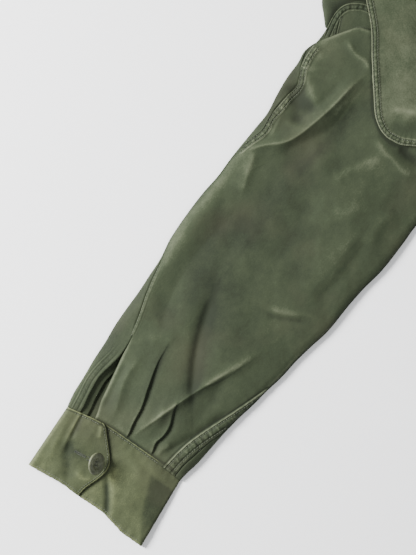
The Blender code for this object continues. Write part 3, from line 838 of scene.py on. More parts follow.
def grid_faces(across: int, along: int, mirrored: bool) -> Array:
    """Four-sided faces of a grid, turned over when it is mirrored.

    Args:
        across: Points along the first axis.
        along: Points along the second axis.
        mirrored: Whether the points were mirrored.

    Returns:
        Indices, four to a face.
    """
    index = np.arange(across * along).reshape(across, along)
    corners = (index[:-1, :-1], index[1:, :-1], index[1:, 1:], index[:-1, 1:])
    faces = np.column_stack([corner.ravel() for corner in corners])
    return faces[:, ::-1] if mirrored else faces


def grid_uv(points: Array) -> Array:
    """Lengths along both axes of a grid, in metres, as its cloth coordinates.

    Args:
        points: The grid in metres.

    Returns:
        Two coordinates for each grid point.
    """
    u_step = np.linalg.norm(np.diff(points, axis=0), axis=2)
    v_step = np.linalg.norm(np.diff(points, axis=1), axis=2)
    u = np.vstack([np.zeros((1, points.shape[1])), np.cumsum(u_step, axis=0)])
    v = np.hstack([np.zeros((points.shape[0], 1)), np.cumsum(v_step, axis=1)])
    return np.stack([u - u.mean(axis=0, keepdims=True), v], axis=2)


def relief_wear_and_shade(points: Array, middle: float, gain: float, passes: int = 24) -> Array:
    """Tone from relief: paler on crests, as fading and as painted highlight, and deeper in hollows as painted
    shade.

    Args:
        points: The grid in millimetres.
        middle: Tone of level cloth.
        gain: Change of tone for each millimetre of height.
        passes: How far the surroundings reach.

    Returns:
        One tone for each grid point.
    """
    height = points[..., 2]
    crest = np.clip(height - blurred(height, passes), -1.6, 1.6)
    return middle + gain * crest


class SeamField(NamedTuple):
    """Where each grid point lies in its nearest felled seam: across in widths, along in mm.

    The weight is 1 on the seam and close to it, and nothing where another seam is as near.
    """

    across: Array
    along: Array
    weight: Array


def seam_field(bands: Sequence[SeamBand], s: Array, t: Array) -> SeamField:
    """The nearest band's signed share across and length along, for each place.

    Args:
        bands: The seams.
        s: First coordinate.
        t: Second coordinate.

    Returns:
        The field, clipped half a width outside the bands.
    """
    best = np.full(np.shape(s), 1.0e9)
    across, along, weight = (np.zeros(np.shape(s)) for _ in range(3))
    for band in bands:
        distance, share, length = stroke_distance(band.path, s, t, 6)
        own = distance / band.width
        outside = np.maximum(np.abs(own - 0.5) - 0.5, 0.0)
        nearer = outside * band.width < best
        best = np.where(nearer, outside * band.width, best)
        across = np.where(nearer, np.clip(own, -0.5, 1.5), across)
        along = np.where(nearer, length, along)
        weight = np.where(nearer, both_ends(share, 0.03) * (1.0 - smoothstep((outside - 0.22) / 0.2)), weight)
    return SeamField(across, along, weight)


def cloth_piece(name: str, grid: Array, tone: Array, finish: bpy.types.Material, wall: float,
                side: Side = Side.RIGHT, seams: SeamField | None = None) -> bpy.types.Object:
    """A thin wall of cloth whose outer face is the grid, thickened inwards by Solidify.

    Args:
        name: The piece's name.
        grid: The outer face in millimetres, drawn for the right side.
        tone: The tone of each grid point.
        finish: The material.
        wall: The wall's thickness in millimetres.
        side: The wearer's side.
        seams: Where its felled seams are, if it has any.

    Returns:
        The piece, riding on the coat's body.
    """
    placed = to_frame(grid, side.mirrored)
    plain = np.zeros(grid.shape[:2])
    seams = seams or SeamField(plain, plain, plain)
    mesh = mesh_from_arrays(name, placed.reshape(-1, 3), grid_faces(*grid.shape[:2], side.mirrored))
    for field, values in (("tone", tone), ("seam_across", seams.across), ("seam_along", seams.along * MM),
                          ("seam_weight", seams.weight)):
        attribute = mesh.attributes.new(field, "FLOAT", "POINT")
        attribute.data.foreach_set("value", np.asarray(values, dtype=np.float32).ravel())
    uv = grid_uv(placed).reshape(-1, 2)
    corner = np.empty(len(mesh.loops), dtype=np.int32)
    mesh.loops.foreach_get("vertex_index", corner)
    layer = mesh.uv_layers.new(name="cloth_uv")
    layer.data.foreach_set("uv", uv[corner].astype(np.float32).ravel())
    piece = new_object(name, mesh)
    mesh.materials.append(finish)
    thickness = piece.modifiers.new("cloth_wall", "SOLIDIFY")
    thickness.thickness = wall * MM
    thickness.offset = -1.0
    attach(piece, "root")
    return piece


def declare_sheet(nodes: Sequence[str]) -> None:
    """Hide the solids that a cloth piece stands for, if there are any.

    Args:
        nodes: The solids that it stands for.
    """
    if nodes:
        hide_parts(*nodes)


@dataclass
class StitchRow:
    """A row of lockstitches along a path of places on the cloth, in millimetres."""

    path: Array
    pitch: float = 3.1
    length: float = 2.3
    width: float = 0.55
    rise: float = 0.12
    half_chord: float = 0.6

    def template(self) -> tuple[Array, Array]:
        """A stitch about the origin: an ellipsoid of 4 rings of 6 points, long along x.

        Returns:
            Points and triangles.
        """
        rings, turns = 4, 6
        polar = np.linspace(0.0, math.pi, rings + 2)[1:-1]
        turn = np.linspace(0.0, 2.0 * math.pi, turns, endpoint=False)
        ring, round_ = np.meshgrid(polar, turn, indexing="ij")
        body = np.stack([0.5 * self.length * np.cos(ring), 0.5 * self.width * np.sin(ring) * np.cos(round_),
                         0.5 * self.width * np.sin(ring) * np.sin(round_)], axis=2).reshape(-1, 3)
        tips = np.array([[0.5 * self.length, 0.0, 0.0], [-0.5 * self.length, 0.0, 0.0]])
        index = np.arange(rings * turns).reshape(rings, turns)
        after = np.roll(index, -1, axis=1)
        quads = np.stack([index[:-1], index[1:], after[1:], after[:-1]], axis=2).reshape(-1, 4)
        sides = np.vstack([quads[:, [0, 1, 2]], quads[:, [0, 2, 3]]])
        first, last = rings * turns, rings * turns + 1
        near = np.column_stack([np.full(turns, first), index[0], after[0]])
        far = np.column_stack([np.full(turns, last), after[-1], index[-1]])
        return np.vstack([body, tips]), np.vstack([sides, near, far])

    def mesh_arrays(self) -> tuple[Array, Array]:
        """Every stitch of the row: the template turned along the path and set on the cloth.

        Returns:
            Points in millimetres and triangles.
        """
        along = path_lengths(self.path)
        count = max(int(along[-1] / self.pitch), 1)
        at = (np.arange(count) + 0.5) * self.pitch
        middle, ahead, behind = (at_lengths(self.path, along, at + shift)
                                 for shift in (0.0, self.half_chord, -self.half_chord))
        forward = ahead - behind
        forward /= np.maximum(np.linalg.norm(forward, axis=1, keepdims=True), 1e-9)
        across = np.cross(np.array([0.0, 0.0, 1.0]), forward)
        across /= np.maximum(np.linalg.norm(across, axis=1, keepdims=True), 1e-9)
        up = np.cross(forward, across)
        points, triangles = self.template()
        basis = np.stack([forward, across, up], axis=1)
        placed = np.einsum("pk,nkc->npc", points, basis) + middle[:, None, :]
        placed[..., 2] += self.rise
        faces = triangles[None, :, :] + (np.arange(count) * len(points))[:, None, None]
        return placed.reshape(-1, 3), faces.reshape(-1, 3)


def stitch_piece(name: str, rows: Sequence[StitchRow], finish: bpy.types.Material,
                 side: Side = Side.RIGHT) -> bpy.types.Object:
    """All rows of stitches of one part, as one mesh.

    Args:
        name: The piece's name.
        rows: The rows.
        finish: The thread's material.
        side: The wearer's side.

    Returns:
        The piece.
    """
    points, faces, offset = [], [], 0
    for row in rows:
        row_points, row_faces = row.mesh_arrays()
        points.append(row_points)
        faces.append(row_faces + offset)
        offset += len(row_points)
    triangles = np.vstack(faces)
    if side.mirrored:
        triangles = triangles[:, ::-1]
    mesh = mesh_from_arrays(name, to_frame(np.vstack(points), side.mirrored), triangles)
    piece = new_object(name, mesh)
    mesh.materials.append(finish)
    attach(piece, "root")
    LOG.info("%s: %d stitches' triangles", name, len(triangles))
    return piece


# ---------------------------------------------------------------- sleeve


# Outline of the sleeve: t, the s of its rear edge and of its inseam, and how high it is domed
SLEEVE_SECTIONS = (
    (60.0, -74.0, 60.0, 2.0), (80.0, -78.5, 59.5, 3.0), (100.0, -80.5, 62.6, 4.5),
    (120.0, -83.0, 64.0, 5.5), (140.0, -84.5, 65.4, 6.0), (160.0, -87.0, 67.8, 6.0),
    (180.0, -88.0, 71.2, 6.0), (200.0, -88.5, 73.7, 6.0), (220.0, -90.0, 77.0, 6.0),
    (240.0, -91.5, 78.6, 6.0), (260.0, -95.5, 81.6, 6.0), (280.0, -97.0, 85.2, 6.0),
    (320.0, -97.5, 86.8, 6.0), (340.0, -96.0, 88.3, 6.0), (360.0, -96.5, 91.2, 6.0),
    (400.0, -95.5, 92.0, 5.5), (420.0, -95.0, 91.5, 5.0), (440.0, -98.5, 93.0, 4.5),
    (460.0, -101.0, 94.5, 4.0), (480.0, -101.5, 95.5, 3.5), (492.0, -103.2, 96.0, 3.2),
    (501.0, -101.2, 96.5, 3.0), (511.0, -97.4, 97.0, 2.8), (522.0, -99.5, 97.0, 2.5),
    (600.0, -100.0, 99.0, 2.0),
)


# How far panels' edges lie inside it: t, the undersleeve's rear, the topsleeve's rear, the inseam's
SEAM_SECTIONS = (
    (60.0, 11.5, 28.0, 6.5), (77.0, 13.5, 30.5, 7.2), (93.0, 11.8, 27.0, 8.6),
    (108.0, 11.5, 25.5, 7.6), (123.0, 15.0, 24.0, 5.4), (140.0, 18.2, 21.4, 2.0),
    (158.0, 19.0, 19.4, 1.2), (180.0, 14.5, 14.8, 1.0), (205.0, 7.0, 7.3, 1.0),
    (236.0, 2.0, 2.3, 1.0), (340.0, 1.0, 1.3, 1.0), (378.0, 2.0, 2.3, 1.0), (405.0, 7.0, 7.3, 1.0),
    (421.0, 4.5, 4.8, 1.0), (446.0, 9.5, 9.8, 1.0), (460.0, 12.5, 12.8, 1.0),
    (478.0, 4.5, 4.8, 1.0), (492.0, 2.0, 2.3, 1.0), (600.0, 1.0, 1.3, 1.0),
)


# The two pleat lines that the topsleeve's columns follow: t, the s of the first and of the second
GUIDE_SECTIONS = (
    (70.0, -9.5, 20.5), (93.0, -13.0, 17.2), (111.0, -16.0, 18.0), (131.0, -23.0, 11.0),
    (154.0, -30.0, 16.0), (180.0, -33.0, 31.0), (230.0, -36.0, 44.0), (330.0, -38.0, 52.0),
    (556.0, -42.0, 60.0),
)

RIGHT_FOLDS = (
    Fold(((-98, 362), (-80, 390), (-64, 407), (-57, 421), (-51, 445), (-47, 467), (-44, 494), (-38, 516)),
         13.0, 12.0, 3.8, 1.4),
    Fold(((-94, 369), (-80, 390), (-64, 407), (-57, 421), (-51, 445), (-47, 467), (-44, 494), (-40, 510)),
         3.2, 2.4, 1.3, 1.3),
    Fold(((-68, 420), (-62, 448), (-57, 472), (-54, 492)), 6.0, 5.0, -1.2),
    Fold(((-64, 384), (-49, 417), (-35, 445), (-31, 473), (-30, 500)), 8.0, 20.0, -3.0),
    Fold(((-82, 384), (-75, 362), (-66, 340)), 6.0, 7.0, 2.0, 1.5),
    Fold(((-78, 527), (-65, 521), (-56, 520), (-48, 520), (-36, 514)), 6.0, 4.0, 1.2, 1.4),
    Fold(((-76, 526), (-65, 521), (-56, 520), (-48, 520), (-38, 515)), 2.2, 2.0, 0.5, 1.3),
    Fold(((-96, 488), (-90, 478), (-75, 464), (-55, 454)), 15.0, 5.0, 2.2, 1.5),
    Fold(((-94, 462), (-84, 452), (-72, 440), (-66, 424)), 12.0, 9.0, -2.3),
    Fold(((-86, 440), (-81, 420), (-78, 402)), 3.0, 4.0, 0.9, 1.4),
    Fold(((4, 470), (18, 461), (35, 459), (46, 456), (63, 460)), 5.0, 4.5, 1.1, 1.4),
    Fold(((-8, 404), (-1, 412), (8, 430), (18, 446), (28, 452)), 5.0, 7.0, 0.8, 1.5),
    Fold(((30, 476), (43, 472), (60, 472)), 7.0, 6.0, -2.6),
    Fold(((-30, 250), (-24, 230), (-14, 203), (-2, 179), (12, 157), (26, 138)), 13.0, 6.0, -3.8, 1.3),
    Fold(((-24, 234), (-38, 262), (-45, 310)), 14.0, 9.0, -1.1),
    Fold(((-50, 400), (-47, 330), (-42, 280)), 16.0, 16.0, -1.0),
    Fold(((-12, 262), (7, 212), (24, 176)), 14.0, 18.0, 1.1),
    Fold(((-90, 356), (-86, 295), (-84, 234), (-76, 190), (-69, 158)), 12.0, 17.0, 2.8),
    Fold(((-60, 330), (-66, 262), (-58, 209), (-46, 172)), 13.0, 14.0, -2.2, 1.5),
    Fold(((-7, 78), (0, 102), (9, 131), (23, 170), (36, 203), (46, 230)), 11.0, 5.0, 2.9, 1.3),
    Fold(((-5, 86), (0, 102), (9, 131), (23, 170), (36, 203)), 2.8, 2.0, 0.9, 1.3),
    Fold(((20, 266), (30, 268), (44, 274), (60, 284), (80, 291)), 5.0, 7.0, 0.9, 1.4),
    Fold(((22, 260), (34, 263), (48, 270), (66, 280)), 4.0, 3.5, -0.9, 1.5),
    Fold(((24, 200), (34, 170), (36, 140), (38, 112)), 9.0, 9.0, -1.4),
    Fold(((-38, 420), (0, 402), (38, 380)), 20.0, 22.0, 1.8),
    Fold(((12, 440), (34, 400), (50, 350), (52, 300)), 18.0, 22.0, 2.2),
    Fold(((-12, 380), (-2, 340), (2, 300)), 12.0, 16.0, -1.3),
    Fold(((60, 380), (62, 330), (58, 300)), 8.0, 8.0, -1.2),
    Fold(((-48, 152), (-46, 122), (-36, 96), (-31, 80)), 5.0, 6.0, 1.5, 1.5),
    Fold(((-56, 140), (-50, 112), (-44, 84)), 4.0, 4.0, -0.9),
    Fold(((28, 84), (40, 112), (56, 160)), 5.0, 6.0, -2.2, 1.5),
    Fold(((30, 100), (26, 88), (25, 78)), 4.0, 4.0, 0.9),
    Fold(((0, 128), (6, 108), (4, 84)), 5.0, 5.0, 1.0),
    Fold(((70, 420), (62, 400), (66, 372)), 7.0, 8.0, 1.2),
    Fold(((-52, 166), (-42, 181), (-28, 180)), 6.0, 8.0, 0.7),
)

# Painted shade in the topsleeve's valleys and under its ridges, and painted light on its lit slopes.
RIGHT_PAINTED_SHADING = (
    PaintedShading(((-84, 300), (-45, 268), (0, 228), (10, 190)), 24.0, -0.18),
    PaintedShading(((-54, 264), (-48, 240), (-40, 214)), 13.0, -0.17),
    PaintedShading(((-60, 188), (-52, 199), (-42, 206)), 11.0, -0.20),
    PaintedShading(((-36, 318), (-34, 365), (-28, 410), (-20, 440)), 18.0, -0.17),
    PaintedShading(((-92, 462), (-76, 449), (-60, 455)), 9.0, -0.32),
    PaintedShading(((-72, 442), (-72, 430), (-76, 414)), 11.0, -0.12),
    PaintedShading(((-78, 296), (-62, 305), (-40, 318), (-18, 300)), 15.0, -0.22),
    PaintedShading(((-46, 458), (-38, 473), (-30, 490)), 8.0, 0.10),
    PaintedShading(((-20, 493), (10, 489), (36, 485)), 14.0, -0.12),
    PaintedShading(((20, 146), (6, 168), (-4, 190), (-16, 218), (-26, 245)), 10.0, -0.30),
    PaintedShading(((-54, 80), (-46, 92), (-38, 108)), 8.0, -0.12),
    PaintedShading(((-86, 356), (-73, 371), (-62, 384)), 8.0, 0.08),
    PaintedShading(((-99, 386), (-101, 430), (-106, 478), (-104, 500)), 9.0, -0.42),
    PaintedShading(((-88, 110), (-84, 136), (-90, 180), (-96, 240)), 9.0, -0.22),
    # Painted shadow beside the first pleat's folded edge.
    PaintedShading(((-18, 116), (-23, 134), (-29, 154), (-32, 172)), 4.5, -0.20),
    PaintedShading(((84, 440), (84, 414), (80, 388)), 9.0, 0.09),
    PaintedShading(((-97, 476), (-92, 488), (-86, 502)), 8.0, 0.15),
    PaintedShading(((-95, 395), (-88, 404), (-80, 411)), 6.0, 0.13),
    PaintedShading(((18, 447), (30, 443), (44, 435)), 10.0, 0.11),
    PaintedShading(((-54, 386), (-38, 398), (-24, 408)), 9.0, -0.12),
    PaintedShading(((2, 184), (9, 168), (17, 152)), 11.0, -0.14),
    # Painted contact shadow on the sleeve along the storm flap's free edge.
    PaintedShading(((-66, 552), (-50, 534.5), (-35, 514.5), (-14, 489), (-2, 479), (12, 472.5), (26, 473), (44, 483)),
         2.3, -0.55),
    PaintedShading(((-8, 352), (14, 330), (30, 300)), 20.0, -0.10),
    PaintedShading(((46, 136), (43, 118), (40, 100)), 9.0, 0.10),
    PaintedShading(((28, 288), (40, 268), (46, 246)), 15.0, 0.09),
    PaintedShading(((50, 414), (58, 398), (66, 380)), 13.0, 0.06),
    PaintedShading(((-30, 545), (-10, 540), (12, 532)), 12.0, 0.12),
)

# Painted shade along the left topsleeve's valleys and painted light on a ridge.
LEFT_PAINTED_SHADING = (
    PaintedShading(((-80, 320), (-40, 270), (0, 220)), 22.0, -0.09),
    PaintedShading(((-66, 470), (-58, 440), (-50, 410)), 11.0, -0.10),
    PaintedShading(((20, 300), (34, 340), (30, 390)), 16.0, 0.06),
)

LEFT_FOLDS = (
    Fold(((-94, 372), (-74, 400), (-58, 438), (-46, 476), (-40, 512)), 14.0, 8.0, 4.4, 1.5),
    Fold(((-58, 392), (-42, 430), (-32, 480)), 9.0, 16.0, -2.2),
    Fold(((-46, 350), (-34, 280), (-16, 214), (6, 166)), 15.0, 14.0, -2.8),
    Fold(((-88, 340), (-86, 262), (-72, 178)), 12.0, 16.0, 2.6),
    Fold(((-7, 81), (2, 110), (16, 146), (38, 200)), 8.0, 6.0, 2.0, 1.5),
    Fold(((18, 300), (42, 306), (70, 322)), 8.0, 9.0, 1.6, 1.6),
    Fold(((20, 246), (46, 258), (70, 262)), 8.0, 9.0, 1.2),
    Fold(((4, 470), (30, 462), (58, 462)), 7.0, 8.0, 1.6),
    Fold(((14, 440), (36, 396), (48, 330)), 18.0, 20.0, 1.8),
)

SLEEVE_PLEATS = (
    Pleat(((-9, 62), (-10, 80), (-13, 93), (-16, 111), (-23, 131), (-30, 154), (-33, 172), (-35, 184)),
          1.9, 11.0, 124.0),
    Pleat(((21, 62), (20, 79), (17, 91), (18.5, 102), (17.5, 113), (12, 126), (9, 136), (6, 146)),
          1.8, 8.0, 108.0),
)

REAR_BAND = SeamBand(((-98, 372), (-94, 387), (-89, 403), (-91, 418), (-90, 432), (-89.5, 446), (-88, 460),
                      (-96, 476), (-99, 493), (-99, 505)), 6.5, 0.8, 0.40)
REAR_LOW_BAND = SeamBand(((-69, 160), (-74, 180), (-82, 205), (-90, 236)), 5.0, 0.35, 0.12)
INSEAM_BAND = SeamBand(((38, 72), (40.5, 99), (46.5, 124), (62, 168), (74, 205)), 11.0, 0.8, 0.40)


HEAD_BANDS = (
    SeamBand(((-97, 515), (-98.8, 523), (-101, 533), (-102, 542), (-100, 551), (-95, 558), (-85, 565),
              (-72, 569)), 7.0, 0.6, 0.3),
    SeamBand(((-99, 546), (-93, 538), (-88, 527), (-84, 520)), 5.0, 0.4, 0.2),
)


@dataclass
class SleeveForm:
    """The lie of one sleeve: where its edges are and how high its cloth stands."""

    folds: tuple[Fold, ...]
    painted_streaks: tuple[PaintedShading, ...]
    seed: int
    head_drop: float = 4.0
    lowest: float = 3.6

    def __post_init__(self) -> None:
        """Prepare the smooth tables."""
        self.rear, self.inseam, self.crown = smooth_columns(SLEEVE_SECTIONS)
        self.under_rear, self.top_rear, self.inseam_inset = smooth_columns(SEAM_SECTIONS)
        self.first_guide, self.second_guide = smooth_columns(GUIDE_SECTIONS)

    def top_end(self, s: Array) -> Array:
        """Where the topsleeve ends: its folded edge at the head, then the armhole seam.

        Args:
            s: Places across the sleeve.

        Returns:
            The t of the end at each.
        """
        fold = smooth_curve(((-101, 503), (-97, 511), (-87, 527), (-80.5, 537), (-74, 545), (-60, 551)), 24)
        seam = armhole_curve(17)[::-1]
        seam_s, seam_t = to_sleeve(seam[:, 0], seam[:, 1])
        return np.interp(s, np.concatenate([fold[:, 0], seam_s]), np.concatenate([fold[:, 1], seam_t]))

    def wrinkles(self, s: Array, t: Array) -> Array:
        """Small uneven waves of washed cloth, longer along the sleeve than across it.

        Args:
            s: Places across the sleeve.
            t: Places along it.

        Returns:
            Height in millimetres.
        """
        slow = 0.60 * value_noise(s, t, 46.0, 90.0, self.seed)
        middle = 0.34 * value_noise(s + 0.3 * t, t, 19.0, 34.0, self.seed + 1)
        fine = 0.14 * value_noise(s + 0.4 * t, t, 8.0, 13.0, self.seed + 2)
        near_cuff = 0.45 * np.exp(-(t - 78.0) / 22.0) * value_noise(s, t, 9.0, 60.0, self.seed + 3)
        return slow + middle + fine + near_cuff

    def top(self, s: Array, t: Array) -> Array:
        """Height of the sleeve's upper face.

        The section is a dome on two rounded edges; folds, pleats, seams and wrinkles are added,
        and the height runs into that of the armhole seam and of the cuff at its two ends.

        Args:
            s: Places across the sleeve.
            t: Places along it.

        Returns:
            Height above the surface in millimetres.
        """
        rear, inseam = self.rear(t), self.inseam(t)
        across = np.clip((s - rear) / (inseam - rear), 0.0, 1.0)
        dome = 1.0 - np.abs(2.0 * across - 1.0) ** 2.6
        free = 2.0 * EDGE_HALF + self.crown(t) * dome
        free = free + fold_relief(self.folds, s, t) + pleat_relief(SLEEVE_PLEATS, s, t) + self.wrinkles(s, t)
        _, y = to_garment(s, t)
        to_end = smoothstep((self.top_end(s) - t) / 45.0)
        at_seam = smoothstep((s + 75.0) / 40.0)
        free = free + (armhole_top(y) + 0.6 - free) * (1.0 - to_end) * at_seam
        past_cuff = np.maximum(t - cuff_edge(s, "top"), 0.0)
        free = free - (free - 5.0) * np.exp(-past_cuff / 3.2)
        bands = band_relief((REAR_BAND, REAR_LOW_BAND, INSEAM_BAND), s, t)
        lift = quarter_round(np.minimum(s - rear, inseam - s) / ROUND_WIDTH)
        return EDGE_HALF + (np.maximum(free + bands, self.lowest) - EDGE_HALF) * lift


def armhole_curve(count: int) -> Array:
    """The front's armhole seam from the armpit up: a quadratic curve on three points.

    Args:
        count: How many points to return.

    Returns:
        Places in x and y.
    """
    k = np.linspace(0.0, 1.0, count)[:, None]
    start, bend, end = (np.array(point) for point in (ARMPIT, ARMHOLE_BEND, ARMHOLE_TOP))
    return (1 - k) ** 2 * start + 2 * k * (1 - k) * bend + k ** 2 * end


def armhole_top(y: Array) -> Array:
    """Height of the cloth along the armhole seam: a half sine between its ends."""
    share = np.clip((y - ARMPIT[1]) / (17.0 - ARMPIT[1]), 0.0, 1.0)
    return 4.6 + 3.6 * np.sin(math.pi * share)


def to_garment(s: Array, t: Array) -> tuple[Array, Array]:
    """Sleeve coordinates turned by the arm's angle into the body's x and y.

    Args:
        s: Places across the sleeve.
        t: Places along it.

    Returns:
        The x and y of each.
    """
    x = CUFF_CENTRE[0] + t * math.cos(ARM_ANGLE) + s * math.sin(ARM_ANGLE)
    y = CUFF_CENTRE[1] + t * math.sin(ARM_ANGLE) - s * math.cos(ARM_ANGLE)
    return x, y


def place_on_arm(s: Array, t: Array, z: Array) -> Array:
    """Sleeve coordinates and a height as places on the coat."""
    return np.stack([*to_garment(s, t), z], axis=-1)


def to_sleeve(x: Array, y: Array) -> tuple[Array, Array]:
    """The body's x and y turned back into sleeve coordinates.

    Args:
        x: Places across the body.
        y: Places along it.

    Returns:
        The s and t of each.
    """
    dx, dy = x - CUFF_CENTRE[0], y - CUFF_CENTRE[1]
    s = dx * math.sin(ARM_ANGLE) - dy * math.cos(ARM_ANGLE)
    t = dx * math.cos(ARM_ANGLE) + dy * math.sin(ARM_ANGLE)
    return s, t


@dataclass
class Sleeve:
    """One sleeve: top panel, under panel, the slit's underlap and the seams' stitches."""

    side: Side
    form: SleeveForm
    columns: tuple[int, ...] = (52, 5, 26, 5, 40)
    rows: int = 300
    under_rows: int = 220
    rear_reach: tuple[float, float] = (66.0, 518.0)
    inseam_reach: tuple[float, float] = (76.0, 455.0)
    lap_reach: tuple[float, float] = (76.0, 456.0)
    slit_end: float = 156.0

    def top_line(self, stretch: int, share: float, t: Array) -> Array:
        """The s of a line at a share of a stretch between two guide lines.

        Args:
            stretch: Which stretch between guide lines, from the rear.
            share: Share of the stretch.
            t: Places along the sleeve.

        Returns:
            The s at each t.
        """
        rear, inseam = self.form.rear(t), self.form.inseam(t)
        first, second = self.form.first_guide(t), self.form.second_guide(t)
        drop = PLEAT_DROP + 5.0 * smoothstep((t - 140.0) / 80.0)
        guides = (rear + self.form.top_rear(t), first, first + drop, second, second + drop,
                  inseam - self.form.inseam_inset(t))
        return guides[stretch] + share * (guides[stretch + 1] - guides[stretch])

    def top_grid(self) -> tuple[Array, Array, Array]:
        """Grid of the topsleeve: columns along the guide lines, rows from cuff to head.

        Returns:
            Places, and the s and t of each.
        """
        v = np.linspace(0.0, 1.0, self.rows + 1) ** 1.08
        s_columns, t_columns = [], []
        for stretch, count in enumerate(self.columns):
            for step in range(0 if stretch == 0 else 1, count + 1):
                share = step / count
                start, end = 75.0, 500.0
                for _ in range(5):
                    start = float(cuff_edge(self.top_line(stretch, share, np.array(start)), "top")) - 3.0
                    end = float(self.form.top_end(self.top_line(stretch, share, np.array(end))))
                t = start + (end - start) * v
                t_columns.append(t)
                s_columns.append(self.top_line(stretch, share, t))
        s, t = np.array(s_columns), np.array(t_columns)
        z = self.form.top(s, t)
        curl = quarter_round((self.form.top_end(s) - t) / self.form.head_drop)
        at_fold = 1.0 - smoothstep((s + 66.0) / 14.0)
        z = z - (z - 4.2) * (1.0 - curl) * at_fold
        slit = smoothstep((163.0 - t) / 12.0)
        from_edge = s - self.form.rear(t) - self.form.top_rear(t)
        z = z - 2.6 * (1.0 - quarter_round(from_edge / 3.0)) * slit
        return place_on_arm(s, t, z), s, t

    def under_grid(self) -> Array:
        """Grid of the undersleeve: up round the rear edge, along the bottom and up at the inseam.

        Returns:
            Places, columns from inseam to rear by rows from cuff to shoulder.
        """
        form = self.form
        v = np.linspace(0.0, 1.0, self.under_rows + 1)
        end_s, end_t = to_sleeve(*floor_armhole(21).T)
        rear_t, inseam_t, lap_t = (low + (high - low) * v for low, high in
                                   (self.rear_reach, self.inseam_reach, self.lap_reach))
        round_angles = np.linspace(0.0, 0.5 * math.pi, 7)[1:-1]
        columns = []
        for share in np.linspace(1.0, 0.0, 15):
            inset = share * (form.under_rear(rear_t) + 2.0)
            s = form.rear(rear_t) + inset
            tucked = smoothstep((inset - form.under_rear(rear_t) + 1.2) / 1.6)
            past_slit = smoothstep((rear_t - 166.0) / 8.0)
            columns.append(place_on_arm(s, rear_t, form.top(s, rear_t) - 1.3 * tucked * past_slit))
        for angle in round_angles:
            s = form.rear(rear_t) + ROUND_WIDTH * (1.0 - math.cos(angle))
            columns.append(place_on_arm(s, rear_t, np.full_like(s, EDGE_HALF * (1.0 - math.sin(angle)))))
        for index in range(len(end_s)):
            t = 70.0 + (end_t[index] - 70.0) * v
            left, right = form.rear(t) + ROUND_WIDTH, form.inseam(t) - ROUND_WIDTH
            low_share = index / (len(end_s) - 1)
            high_share = np.clip((end_s[index] - left[-1]) / (right[-1] - left[-1]), 0.006 * index, 1.0)
            share = low_share + (high_share - low_share) * v ** 2
            columns.append(place_on_arm(left + share * (right - left), t, np.zeros_like(t)))
        for angle in round_angles[::-1]:
            s = form.inseam(inseam_t) - ROUND_WIDTH * (1.0 - math.cos(angle))
            columns.append(place_on_arm(s, inseam_t, np.full_like(s, EDGE_HALF * (1.0 - math.sin(angle)))))
        for share in np.linspace(0.0, 1.0, 11):
            inset = share * (form.inseam_inset(lap_t) + 1.5)
            s = form.inseam(lap_t) - inset
            tucked = smoothstep((inset - form.inseam_inset(lap_t) + 1.0) / 1.4)
            columns.append(place_on_arm(s, lap_t, form.top(s, lap_t) - 1.2 * tucked))
        return np.array(columns[::-1])

    def slit_band(self) -> SeamBand:
        """The seam beside the slit, on the under panel: it follows that panel's turned-up edge.

        Returns:
            The seam.
        """
        t = np.array([66.0, 84.0, 102.0, 120.0, 138.0, 156.0, 176.0, 200.0])
        s = self.form.rear(t) + self.form.under_rear(t) - 8.0
        return SeamBand(tuple(zip(s, t)), 8.0, 0.0, 0.0)

    def underlap_grid(self) -> Array:
        """The slit's underlap: a narrow strip beside the slit's rear edge, lower than it.

        Returns:
            Places, columns across the strip by rows along it.
        """
        t = np.linspace(68.0, self.slit_end, 60)[None, :]
        share = np.linspace(0.0, 1.0, 12)[:, None]
        start = self.form.rear(t) + self.form.under_rear(t) - 4.0
        width = 7.0 + 7.0 * smoothstep((158.0 - t) / 40.0)
        s = start + share * width
        z = 4.5 - 1.5 * share ** 2 + 0.25 * np.sin(t / 7.0) * share + 0.0 * t
        return place_on_arm(s, t + 0.0 * s, z)

    def head_grid(self) -> Array:
        """The under layer of the sleeve's head, from below the folded edge to the armhole seam.

        Returns:
            Places, columns along the fold by rows outwards.
        """
        inner = smooth_curve(((-100, 498), (-94, 508), (-84, 522), (-72, 536), (-58, 544), (-44, 547),
                              (-30, 549)), 84)
        outer = smooth_curve(((-98, 518), (-100.5, 529), (-102.6, 541), (-101.5, 551), (-97, 560),
                              (-88, 567), (-72, 571), (-56, 572), (-42, 567), (-29, 559)), 84)
        v = np.linspace(0.0, 1.0, 46)
        flat = ruled(inner, outer, v)
        s, t = flat[..., 0], flat[..., 1]
        along = np.linspace(0.0, 1.0, 84)[:, None]
        round_off = quarter_round((1.0 - v[None, :]) / 0.12) * quarter_round(along / 0.06)
        z = 1.6 + (3.0 + 0.5 * value_noise(s, t, 16.0, 16.0, 5) + band_relief(HEAD_BANDS, s, t)) * round_off
        return place_on_arm(s, t, z)

    def row(self, path: Sequence[Sequence[float]], offset: float) -> StitchRow:
        """A row of stitches beside a path on the sleeve.

        Args:
            path: Places in s and t.
            offset: How far to the right of the path the row runs.

        Returns:
            The row on the sleeve's upper face.
        """
        curve = smooth_curve(path, 160)
        step = np.gradient(curve, axis=0)
        step /= np.linalg.norm(step, axis=1, keepdims=True)
        s = curve[:, 0] + offset * step[:, 1]
        t = curve[:, 1] - offset * step[:, 0]
        on_top = ((s > self.form.rear(t) + 2.0) & (s < self.form.inseam(t) - 2.0)
                  & (t > cuff_edge(s, "top") + 1.5))
        s, t = s[on_top], t[on_top]
        return StitchRow(place_on_arm(s, t, self.form.top(s, t)))

